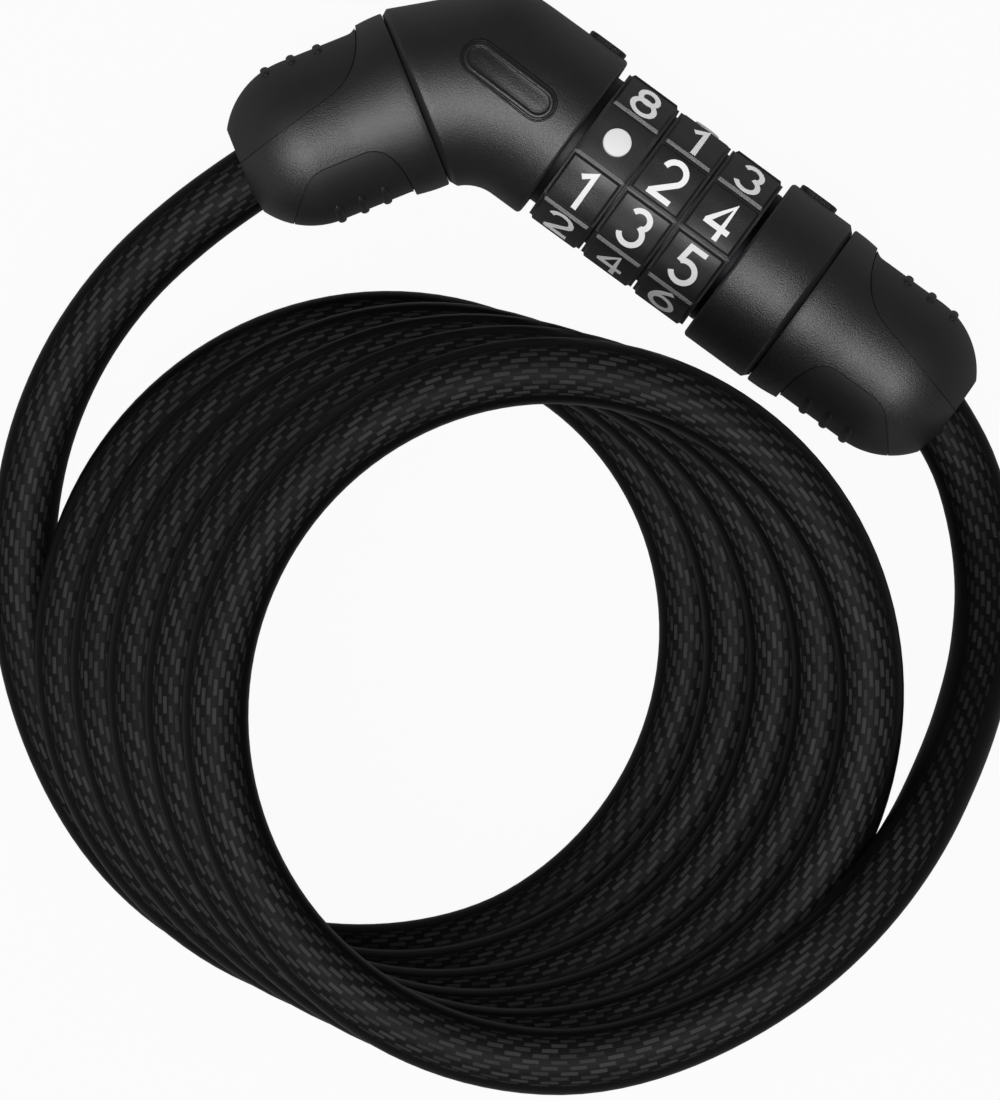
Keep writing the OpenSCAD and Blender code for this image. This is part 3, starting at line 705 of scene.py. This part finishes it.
def standOut(section, lateral, a):
    # Moves the outer side of a bend's section out, so that it runs on to a tighter corner
    sharp, start = housingSettings["corner"], housingSettings["cornerFrom"]
    both = sum(math.exp(-sharp / math.cos(b)) for b in (a, math.radians(bendTurn) - a))
    reach = (bendR + housingR) * (-math.log(both) / sharp - 1)
    moved = []
    for i, (x, y, z) in enumerate(section):
        share = max((math.cos(2 * math.pi * (i + 0.5) / len(section)) - start) / (1 - start), 0)
        out = reach * share * share * (3 - 2 * share)
        moved.append((x + lateral.x * out, y + lateral.y * out, z))
    return moved


def elbowRings():
    yAxis = Vector((0, 1))
    profile = housingSettings["coreHole"] + faceRounding(housingSettings["elbowX"], 1)
    profile += [(x, housingR) for x in housingSettings["elbowSteps"]]
    rings = [roundSection(Vector((x, 0)), yAxis, r) for x, r in profile]
    for i in range(housingSettings["bendSteps"] + 1):
        a = math.radians(bendTurn * i / housingSettings["bendSteps"])
        lateral = Vector((-math.sin(a), math.cos(a)))
        section = roundSection(Vector((bendX, -bendR)) + lateral * bendR, lateral, housingR)
        rings.append(standOut(section, lateral, a))
    # Straight tail up to the tilted seam, then the seam's chamfer and its closed end
    along = Vector((-math.cos(a), -math.sin(a)))
    start = Vector((bendX, -bendR)) + lateral * bendR
    normal = Vector((math.cos(angleLeft), math.sin(angleLeft)))
    lean, face = lateral.dot(normal), along.dot(normal)
    count = housingSettings["count"]

    def tiltedSection(c, drop, share=1):
        section = []
        for i in range(count):
            b = 2 * math.pi * (i + 0.5) / count
            out, z = (housingR - drop) * math.cos(b), (housingR - drop) * math.sin(b)
            reach = share * (housingSettings["tail"] - (c + out * lean) / face)
            p = start + lateral * out + along * reach
            section.append((p.x, p.y, max(axisZ + z, 0)))
        return section

    rings += [tiltedSection(1, 0, share) for share in housingSettings["tailShares"]]
    rings += [tiltedSection(c, drop) for c, drop in housingSettings["seam"]]
    rings.append(tiltedSection(0, housingSettings["seamWidth"]))
    return rings


elbowHousing = newPiece(
    "elbowHousing", *loft(elbowRings()), housingMaterial, "housing_black", "elbow_head"
)
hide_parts("elbow_housing")

plugProfile = housingSettings["socket"] + faceRounding(housingSettings["plugX"], -1)
plugProfile += [(x, housingR) for x in housingSettings["plugSteps"]]
plugProfile += [(seamRight.x - c, housingR - drop) for c, drop in housingSettings["seam"]]
plugProfile.append((seamRight.x, housingR - housingSettings["seamWidth"]))
plugHousing = newPiece(
    "plugHousing", *loft([roundSection(Vector((x, 0)), Vector((0, 1)), r) for x, r in plugProfile]),
    housingMaterial, "housing_black", "plug_head"
)
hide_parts("right_housing")
print("housings made")

# Badge place on the elbow: a bare oval, a raised rim round a recessed floor
badgeSettings = {
    "centre": (-9.9, 0.8),
    "angle": -1.4,
    "halfLength": 5.6,       # middle to the centre of a round end
    "pocketR": 3.0,
    "pocketDepth": 0.5,
    "toolTop": 31,           # height that the tool for the pocket reaches
    "underside": (1.5, 2.9),
    "profile": [             # radius, and height over the housing
        (2.96, -0.48), (2.94, -0.1), (2.88, -0.02), (2.8, -0.02), (2.72, -0.14), (2.62, -0.3),
        (2.5, -0.3), (2.42, -0.12), (2.34, 0.03), (2.24, 0.08), (1.98, 0.08), (1.88, 0.03),
        (1.8, -0.1), (1.72, -0.24), (1.6, -0.28), (1.0, -0.28), (0.4, -0.28), (0.02, -0.28),
    ],
}


def elbowTop(x, y):
    # Height of the elbow's upper surface over a point of the table
    p = Vector((x, y))
    if x >= bendX:
        out = y
    else:
        fromBend = p - Vector((bendX, -bendR))
        a = math.atan2(-fromBend.x, fromBend.y)
        limit = math.radians(bendTurn)
        if a <= limit:
            out = fromBend.length - bendR
        else:
            out = fromBend.dot(Vector((-math.sin(limit), math.cos(limit)))) - bendR
    return axisZ + math.sqrt(housingR ** 2 - out ** 2)


def stadium(radius, halfLength, ends=20, sides=26):
    # Points of a stadium's edge, counted the same for any radius
    points = []
    for sign in (1, -1):
        for i in range(ends):
            a = math.pi * (i / ends - 0.5)
            points.append((sign * (halfLength + radius * math.cos(a)), sign * radius * math.sin(a)))
        for i in range(sides):
            points.append((sign * halfLength * (1 - 2 * i / sides), sign * radius))
    return points


def badgeRing(radius, height, flatHeight=None):
    c = badgeSettings
    a = math.radians(c["angle"])
    ring = []
    for u, v in stadium(radius, c["halfLength"]):
        x = c["centre"][0] + u * math.cos(a) - v * math.sin(a)
        y = c["centre"][1] + u * math.sin(a) + v * math.cos(a)
        ring.append((x, y, flatHeight or elbowTop(x, y) + height))
    return ring


pocketRings = [badgeRing(badgeSettings["pocketR"], 0, badgeSettings["toolTop"])]
for share in (1, 0.8, 0.6, 0.4, 0.2, 0.01):
    pocketRings.append(badgeRing(badgeSettings["pocketR"] * share, -badgeSettings["pocketDepth"]))
combine(elbowHousing, newPiece("badgePocket", *loft(pocketRings)))
badgeRings = [badgeRing(r, -badgeSettings["pocketDepth"]) for r in badgeSettings["underside"]]
badgeRings += [badgeRing(r, height) for r, height in badgeSettings["profile"]]
newPiece("badgeBare", *loft(badgeRings), housingMaterial, "housing_black", "elbow_head", 60)

# Index marks: raised stadiums on the far side of both housings
markSettings = {
    "length": 6.6,
    "width": 3,
    "height": 0.77,
    "sunk": 2,      # how far it reaches into the housing
    "angle": 93,    # from straight up towards the far side
    "edge": 0.18,
    "elbowX": -4.5,
    "plugX": 35.5,
}


def indexMark(name, x0, body):
    c = markSettings
    a = math.radians(c["angle"])
    half = c["width"] / 2
    rings = []
    for inset, height in [(0, housingR - c["sunk"])] + softEdge(housingR + c["height"], c["edge"]):
        ring = []
        for u, v in stadium(half - inset, c["length"] / 2 - half):
            ring.append((
                x0 + c["length"] / 2 + u,
                height * math.sin(a) + v * math.cos(a),
                axisZ + height * math.cos(a) - v * math.sin(a),
            ))
        rings.append(ring)
    newPiece(name, *loft(rings), housingMaterial, "housing_black", body, 50)


indexMark("elbowIndexMark", markSettings["elbowX"], "elbow_head")
indexMark("plugIndexMark", markSettings["plugX"], "plug_head")
print("badge and index marks made")

# Boots: one revolved shape with two pockets for the grip panels, used for both heads
bootSettings = {
    "count": 120,
    # Distance from the seam and radius: the rim, and the end of the dome
    "rim": [(0.08, 10.2), (0.08, 13.85), (0.16, 14.02), (0.34, 14.1), (1.2, 14.1)],
    "end": [(28.59, 6.42), (28.5, 4)],
    "taper": 10.8,   # length over which the rim runs out into the body
    "bodySteps": (13.5, 15.5),
    "panelBends": [(1.2, 14.1), (2.2, 14.1), (4.6, 13.6), (5.5, 13), (17.3, 13)],
    "panelFillets": (0.9, 0.5, 0.6),
    "panelSteps": (7.5, 9, 11, 13, 15),
    "domeS": 17.3,   # where the dome starts
    "domeTurn": 60,
    "bodyR": 13,
    "gripT": 1.6,
    "gap": 0.17,     # grip panel to its pocket, as a groove
    "gapDepth": 0.3,
    "footGap": 0.01,  # the same below the groove
    "overlap": 0.05,  # of the panel with the body below it
    "ribHalfWidth": 0.68,
    "ribHeight": 0.45,
    "ribSteps": 24,
    "ribSides": 16,
    "ribEnd": 14,    # the larger, the blunter
    "outerRibs": {"s": (11.2, 15.55, 19.9), "spread": 25, "side": 0},
    "innerRibs": {"s": (9.8, 13.55, 17.3), "spread": 33, "side": 180},
    "mouthR": 5.35,  # hole that the cable leaves by
    "mouthRings": 16,
}


def bootProfile(panel=False):
    # The body runs on smoothly from its rim; the grip panels lie deeper, with a step in front
    c = bootSettings
    profile = list(c["rim"])
    if panel:
        bends = c["panelBends"]
        for before, corner, after, size in zip(bends, bends[1:], bends[2:], c["panelFillets"]):
            profile += rounded(before, corner, after, size)
        profile += [(s, c["bodyR"]) for s in c["panelSteps"]]
    else:
        rimS, rimR = c["rim"][-1]
        steps = 20
        for i in range(1, steps + 1):
            u = i / steps
            r = rimR - (rimR - c["bodyR"]) * u * u * (3 - 2 * u)
            profile.append((rimS + c["taper"] * u, r))
        profile += [(s, c["bodyR"]) for s in c["bodySteps"]]
    steps = 26
    for i in range(steps + 1):
        a = math.radians(c["domeTurn"] * i / steps)
        profile.append((c["domeS"] + c["bodyR"] * math.sin(a), c["bodyR"] * math.cos(a)))
    return profile + c["end"]


def skinProfile(depth):
    # Parallel to the body at a depth below it, and open past the seam
    r, domeS = bootSettings["bodyR"] - depth, bootSettings["domeS"]
    profile = [(-2, r), (domeS, r)]
    steps = 32
    for i in range(1, steps + 1):
        a = math.radians(90 * i / steps)
        profile.append((domeS + r * math.sin(a), max(r * math.cos(a), 0.05)))
    return profile


def revolved(name, profile):
    count = bootSettings["count"]
    angles = [2 * math.pi * (i + 0.5) / count for i in range(count)]
    rings = [[(s, r * math.cos(a), r * math.sin(a)) for a in angles] for s, r in profile]
    return newPiece(name, *loft(rings))


# Outlines of the grip panels, seen from above; i moves them in
def outerOutline(i):
    start = bezier((4.3 + i, 14.5), (5.6 + i, 6.2 + i), (12.5, 4.45 + i))
    return start + [(29.56, 0.21 + i), (29.56, 14.5)]


def innerOutline(i):
    return (
        bezier((5.3 + i, -14.5), (5.6 + i, -5.2 - i), (10.5, -5.2 - i))
        + bezier((17, -5.2 - i), (19.2 - i, -5.2 - i), (20.6 - i, -6.6 - i)) + [(28 - i, -14.5)]
    )


def prism(name, outline):
    # Upright, and taller than a boot
    rings = [[(s, n, z) for s, n in outline] for z in (-20, 20)]
    return newPiece(name, *loft(rings))


def rib(s, side, spread):
    # Half-proud bead round a boot, with rounded ends
    c = bootSettings
    base = math.sqrt(c["bodyR"] ** 2 - max(s - c["domeS"], 0) ** 2)
    rings = []
    for i in range(c["ribSteps"] + 1):
        share = -1 + 2 * i / c["ribSteps"]
        a = math.radians(side + share * spread)
        size = math.sqrt(max(1 - abs(share) ** c["ribEnd"], 0.01))
        ring = []
        for j in range(c["ribSides"]):
            b = 2 * math.pi * j / c["ribSides"]
            along = s + size * c["ribHalfWidth"] * math.cos(b)
            out = base + size * c["ribHeight"] * math.sin(b)
            ring.append((along, out * math.cos(a), out * math.sin(a)))
        rings.append(ring)
    return loft(rings)


c = bootSettings
bootShape = revolved("bootShape", bootProfile())
panelShapes = {}
for name, outline, ribs in (
    ("OuterGrip", outerOutline, bootSettings["outerRibs"]),
    ("InnerGrip", innerOutline, bootSettings["innerRibs"]),
):
    pocket = prism("pocket", outline(0))
    combine(pocket, revolved("skin", skinProfile(c["gripT"])))
    panel = prism("panel", outline(c["gap"]))
    combine(panel, revolved("solid", bootProfile(True)), "INTERSECT")
    # The panel fills its pocket below the groove
    foot = prism("foot", outline(c["footGap"]))
    low = [(s, r - c["gapDepth"]) for s, r in bootProfile(True)]
    combine(foot, revolved("solid", low), "INTERSECT")
    combine(panel, foot, "UNION")
    combine(panel, revolved("under", skinProfile(c["gripT"] - c["overlap"])))
    combine(bootShape, pocket)
    panelShapes[name] = (panel, [rib(s, ribs["side"], ribs["spread"]) for s in ribs["s"]])


def placeBoot(shape, name, side, material, body, cut):
    # Copies a shape from the boot's own frame to one head, then cuts the cable's way out
    mesh = shape.data.copy()
    mesh.name = name
    for v in mesh.vertices:
        s, n, z = v.co / mm
        x, y, z = bootPoint(side, s, n, z)
        v.co = Vector((x, y, max(z, 0))) * mm
    if side == "left":
        mesh.flip_normals()
    mesh.materials.clear()
    mesh.materials.append(material)
    piece = bpy.data.objects.new(name, mesh)
    bpy.context.scene.collection.objects.link(piece)
    if cut:
        combine(piece, mouthTools[side], keepTool=True)
    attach(piece, body)
    return piece


# The cable's own line, a little wider, cuts its way out of each boot
mouthTools = {}
for side, line, leaves in (
    ("left", leftLine, leftExit),
    ("right", rightLine[::-1], Vector((1, 0, 0))),
):
    line = line[:bootSettings["mouthRings"]]
    ends = (leaves, (line[-1] - line[-2]).normalized())
    mouthTools[side], _ = sweep(
        side + "Mouth", line, bootSettings["mouthR"], 0, bootMaterial, None, ends
    )
for side, body in (("left", "elbow_head"), ("right", "plug_head")):
    boot = placeBoot(bootShape, side + "Boot", side, bootMaterial, body, True)
    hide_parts(side + "_boot")
    for name, (panel, ribs) in panelShapes.items():
        grip = placeBoot(
            panel, side + name, side, gripMaterial, body, name == "OuterGrip"
        )
        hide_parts(side + ("_outer_grip" if name == "OuterGrip" else "_inner_grip"))
        for i, (points, faces) in enumerate(ribs):
            placed = [bootPoint(side, *p) for p in points]
            newPiece(f"{side}{name}Rib{i + 1}", placed, faces, gripMaterial, "grip_black", body, 60)
for tool in [bootShape, *[panel for panel, _ in panelShapes.values()], *mouthTools.values()]:
    bpy.data.objects.remove(tool)
print("boots and grips made")

# Dial: nine-sided rings with a raised pad on every facet but the dot's
ringSettings = {
    "firstX": 4.25,
    "pitch": 9.8,
    "width": 9.45,
    "facets": 9,
    "padR": 13.07,       # axis to a pad's face
    "grooveR": 12.5,
    "padHeight": 0.57,   # above the grooves
    "padWidth": 7.86,
    "padWall": 0.27,     # width of its steep walls between the facets
    "padEdge": 0.385,    # ring's face to a pad's foot
    "padSlope": 0.38,
    "bareDrop": 0.09,    # the dot's facet, above the grooves
    "bareEdge": 0.2,
    "boreR": 10.55,
    "hubs": ((0.09, 11.4), (0.33, 11.9), (0.33, 11.9)),  # reach and radius
    "lastHub": (0.04, 11.5),
    "indexAngle": 93,    # where the index marks point
    "shown": (7, 0, 2),  # digit of each ring at the marks; 0 is the dot
    "bevel": 0.06,
    "bevelFrom": 14,     # angle between two faces whose edge gets the bevel
    "sharpFrom": 24,     # and stays sharp
    "dotR": 2.185,
    "dotRise": 0.15,
    "dotDepth": 0.98,    # its whole height
    "dotEdge": 0.14,
    "dotSides": 48,
}


def facetAngle(k, digit):
    # Direction that a digit of ring k faces, from straight up towards the far side
    c = ringSettings
    return c["indexAngle"] - 360 / c["facets"] * (digit - c["shown"][k - 1])


def onRing(angle, x, u, out):
    # u runs round the ring towards growing angles, out is the distance from the axis
    a = math.radians(angle)
    return (x, out * math.sin(a) + u * math.cos(a), axisZ + out * math.cos(a) - u * math.sin(a))


def numberRing(k):
    c = ringSettings
    x0 = c["firstX"] + (k - 1) * c["pitch"]
    half = c["grooveR"] * math.tan(math.radians(180 / c["facets"]))
    low, edge = c["padEdge"], c["padEdge"] + c["padSlope"]
    w = c["width"]

    def outer(x, raised):
        ring = []
        for digit in range(c["facets"]):
            angle = facetAngle(k, -digit)
            bare = digit == 0
            reach = half - c["bareEdge"] if bare else c["padWidth"] / 2
            foot = reach + (c["bareDrop"] if bare else c["padWall"])
            top = c["bareDrop"] if bare else c["padHeight"]
            rise = top if raised else 0
            ring.append(onRing(angle, x0 + x, -half, c["grooveR"]))
            ring.append(onRing(angle, x0 + x, -foot, c["grooveR"]))
            for u in (-reach, -reach / 3, reach / 3, reach):
                ring.append(onRing(angle, x0 + x, u, c["grooveR"] + rise))
            ring.append(onRing(angle, x0 + x, foot, c["grooveR"]))
        return ring

    def bore(x, radius=c["boreR"]):
        ring = []
        for _, y, z in outer(x, False):
            a = math.atan2(y, z - axisZ)
            ring.append((x0 + x, radius * math.sin(a), axisZ + radius * math.cos(a)))
        return ring

    rings = [bore(w / 2), bore(w / 4)]
    # Low round hub that closes the gap to the collar or ring before
    reach, hubR = c["hubs"][k - 1]
    rings += [bore(-reach), bore(-reach, hubR), bore(0, hubR)]
    rings += [outer(0, False), outer(low, False), outer(edge, True)]
    rings += [outer(w - edge, True), outer(w - low, False), outer(w, False)]
    if k == len(c["hubs"]):
        reach, hubR = c["lastHub"]
        rings += [bore(w, hubR), bore(w + reach, hubR), bore(w + reach)]
    rings += [bore(w), bore(w / 2)]
    points, faces = loft(rings, (False, False))
    piece = newPiece(f"numberRing{k}", points, faces, ringMaterial, "ring_black", f"ring_{k}", 20)
    applyModifier(
        piece, "BEVEL", width=c["bevel"] * mm, segments=2, limit_method="ANGLE",
        angle_limit=math.radians(c["bevelFrom"]), harden_normals=False
    )
    piece.data.shade_smooth()
    piece.data.set_sharp_from_angle(angle=math.radians(c["sharpFrom"]))
    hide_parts(f"number_ring_{k}")


def arc(x, y, r, start, end, steps=18):
    angles = [math.radians(start + (end - start) * i / steps) for i in range(steps + 1)]
    return [(x + r * math.cos(a), y + r * math.sin(a)) for a in angles]


# Digits as pen strokes in millimetres: the middle of a digit is at 0, 0
digitStrokes = {
    1: [[(-1.3, 1.7), (0.45, 3.1), (0.45, -3.55)]],
    2: [arc(0.05, 1.25, 1.83, 172, -38) + [(-1.78, -3.1)], [(-2.02, -3.1), (2.1, -3.1)]],
    3: [arc(0, 1.52, 1.56, 158, -62), arc(0, -1.3, 1.83, 74, -160)],
    4: [[(0.95, -3.55), (0.95, 2.75), (-1.85, -1.5)], [(-2.15, -1.5), (2.3, -1.5)]],
    5: [[(1.75, 3.1), (-1.05, 3.1), (-1.43, 0.0)], arc(0, -1.22, 1.88, 134, -155)],
    6: [arc(0, -1.25, 1.86, 0, 360, 30), bezier((-1.84, -1.0), (-1.7, 1.3), (1.05, 3.3), 10)],
    7: [[(-1.9, 3.1), (1.75, 3.1), (-0.75, -3.55)]],
    8: [arc(0, 1.6, 1.48, 0, 360, 26), arc(0, -1.25, 1.86, 0, 360, 30)],
}
inkSettings = {
    "stroke": 0.92,
    "rise": 0.03,     # over the pad, and how far it reaches into it
    "depth": 0.06,
    "layer": 0.008,   # each further stroke of a digit lies this much higher
    "mitreEnd": 0.45,
}


def strokeMesh(line, place):
    # Flat band along a line with mitred corners; place turns x, y, height into a point
    half = inkSettings["stroke"] / 2
    line = [Vector(p) for p in line]
    loop = (line[0] - line[-1]).length < 1e-6
    count = len(line)
    rings = []
    for i, p in enumerate(line):
        before = line[i - 1] if i else line[-2] if loop else None
        after = line[i + 1] if i < count - 1 else line[1] if loop else None
        a = (p - before).normalized() if before is not None else (after - p).normalized()
        b = (after - p).normalized() if after is not None else a
        na, nb = Vector((-a.y, a.x)), Vector((-b.y, b.x))
        mitre = (na + nb) / max(1 + na.dot(nb), inkSettings["mitreEnd"])
        left, right = p + mitre * half, p - mitre * half
        top, bottom = inkSettings["rise"], -inkSettings["depth"]
        rings.append([place(left.x, left.y, top), place(right.x, right.y, top),
                      place(right.x, right.y, bottom), place(left.x, left.y, bottom)])
    return loft(rings, (not loop, not loop))


def ringMiddle(k):
    return ringSettings["firstX"] + (k - 1) * ringSettings["pitch"] + ringSettings["width"] / 2


def ringDigits(k):
    points, faces = [], []
    for digit, strokes in digitStrokes.items():
        angle = facetAngle(k, digit)
        for i, line in enumerate(strokes):
            layer = ringSettings["padR"] + i * inkSettings["layer"]
            made, joined = strokeMesh(
                line, lambda x, y, h: onRing(angle, ringMiddle(k) + x, y, layer + h)
            )
            faces += [tuple(v + len(points) for v in face) for face in joined]
            points += made
    newPiece(f"ringDigits{k}", points, faces, inkMaterial, "dot_white", f"ring_{k}")


def ringDot(k):
    c = ringSettings
    top = c["padR"] + c["dotRise"]
    angles = [2 * math.pi * i / c["dotSides"] for i in range(c["dotSides"])]
    rings = []
    for inset, height in [(0, top - c["dotDepth"])] + softEdge(top, c["dotEdge"]):
        r = c["dotR"] - inset
        rings.append([
            onRing(facetAngle(k, 0), ringMiddle(k) + r * math.cos(a), r * math.sin(a), height)
            for a in angles
        ])
    dot = newPiece(f"ringDot{k}", *loft(rings), dotMaterial, "dot_white", f"ring_{k}", 50)
    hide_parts(f"number_dot_{k}")


for k in (1, 2, 3):
    numberRing(k)
    ringDigits(k)
    ringDot(k)
print("dial made")

# Table: white to the camera, with the lock's faint shadow, and duller to gloss and glass
studioSettings = {
    "table": "#9a9a9a",
    "tableMottle": "#9f9f9f",
    "mottleScale": 12,
    "tableHalf": 3,
    "tableDrop": 0.00005,  # keeps its face clear of the flats on the heads
    "tableLift": 0.95,     # share of plain white that the camera sees in the table
    "mirroredShare": 0.7,  # share that gloss and glass see of a duller table
    "mirroredLevel": 0.14,
    "fillLow": 0.85,       # soft light of the room, from the horizon
    "fillHigh": 0.3,       # and from above
    "fillTop": 0.7,        # height on the sky where that starts, as a share of straight up
    "overhead": 0.08,      # what gloss sees above; it sees plain white at the near horizon
    "overheadFrom": 0.14,
    "behind": 0.22,        # share of that at the far side
    "sideBand": 0.4,       # half the breadth of the change from near to far
    "keyPlace": (0.16, -0.7, 2.1),
    "keyAim": (0.02, -0.03, 0.01),
    "keySize": 1.9,
    "keyPower": 42,
}
tableMaterial, tree = newMaterial("paintedTableWhite")
path = addNode(tree, "LightPath")
mirrored = addNode(tree, "Math", {
    0: path.outputs["Is Glossy Ray"], 1: path.outputs["Is Transmission Ray"],
}, operation="MAXIMUM")
mirrored = addNode(tree, "Math", {
    0: mirrored.outputs[0], 1: studioSettings["mirroredShare"],
}, operation="MULTIPLY")
lift = addNode(tree, "Math", {
    0: path.outputs["Is Camera Ray"], 1: studioSettings["tableLift"], 2: mirrored.outputs[0],
}, operation="MULTIPLY_ADD")
place = addNode(tree, "TexCoord")
mottle = addNode(tree, "TexNoise", {
    "Vector": place.outputs["Object"], "Scale": studioSettings["mottleScale"], "Detail": 2,
})
paint = addNode(tree, "Mix", {
    "Factor": mottle.outputs[0], 6: linear(studioSettings["table"]),
    7: linear(studioSettings["tableMottle"]),
}, data_type="RGBA")
matt = addNode(tree, "BsdfDiffuse", {"Color": paint.outputs[2]})
white = addNode(tree, "Mix", {
    "Factor": path.outputs["Is Camera Ray"], 2: studioSettings["mirroredLevel"], 3: 1,
}, data_type="FLOAT")
plain = addNode(tree, "Emission", {"Color": (1, 1, 1, 1), "Strength": white.outputs[0]})
shader = addNode(tree, "MixShader", {0: lift.outputs[0], 1: matt.outputs[0], 2: plain.outputs[0]})
finishMaterial(tree, shader)
tableMesh = bpy.data.meshes.new("table")
half = studioSettings["tableHalf"]
corners = [(-half, -half, 0), (half, -half, 0), (half, half, 0), (-half, half, 0)]
tableMesh.from_pydata(corners, [], [(0, 1, 2, 3)])
tableMesh.materials.append(tableMaterial)
table = bpy.data.objects.new("table", tableMesh)
table.location.z = -studioSettings["tableDrop"]
bpy.context.scene.collection.objects.link(table)

world = bpy.data.worlds.new("studio")
bpy.context.scene.world = world
world.use_nodes = True
tree = world.node_tree
tree.nodes.clear()
path = addNode(tree, "LightPath")
mirrored = addNode(tree, "Math", {
    0: path.outputs["Is Glossy Ray"], 1: path.outputs["Is Transmission Ray"],
}, operation="MAXIMUM")
direction = addNode(tree, "TexCoord")
height = addNode(tree, "SeparateXYZ", {0: direction.outputs["Generated"]})
softbox = addNode(tree, "MapRange", {
    "Value": height.outputs[2], "From Min": 0, "From Max": studioSettings["overheadFrom"],
    "To Min": 1, "To Max": studioSettings["overhead"],
}, interpolation_type="SMOOTHSTEP")
side = addNode(tree, "MapRange", {
    "Value": height.outputs[1], "From Min": -studioSettings["sideBand"],
    "From Max": studioSettings["sideBand"], "To Min": 1, "To Max": studioSettings["behind"],
}, interpolation_type="SMOOTHSTEP")
softbox = addNode(tree, "Math", {0: softbox.outputs[0], 1: side.outputs[0]}, operation="MULTIPLY")
fill = addNode(tree, "MapRange", {
    "Value": height.outputs[2], "From Min": 0, "From Max": studioSettings["fillTop"],
    "To Min": studioSettings["fillLow"], "To Max": studioSettings["fillHigh"],
})
level = addNode(tree, "Mix", {
    "Factor": mirrored.outputs[0], 2: fill.outputs[0], 3: softbox.outputs[0],
}, data_type="FLOAT")
strength = addNode(tree, "Math", {
    0: level.outputs[0], 1: path.outputs["Is Camera Ray"],
}, operation="MAXIMUM")
sky = addNode(tree, "Background", {"Color": (1, 1, 1, 1), "Strength": strength.outputs[0]})
addNode(tree, "OutputWorld", {"Surface": sky.outputs[0]})

key = bpy.data.lights.new("key", "AREA")
key.shape = "DISK"
key.size = studioSettings["keySize"]
key.energy = studioSettings["keyPower"]
keyLamp = bpy.data.objects.new("key", key)
keyLamp.location = studioSettings["keyPlace"]
aim = Vector(studioSettings["keyAim"]) - keyLamp.location
keyLamp.rotation_euler = aim.to_track_quat("-Z", "Y").to_euler()
bpy.context.scene.collection.objects.link(keyLamp)
print("studio made")

bpy.context.view_layer.update()
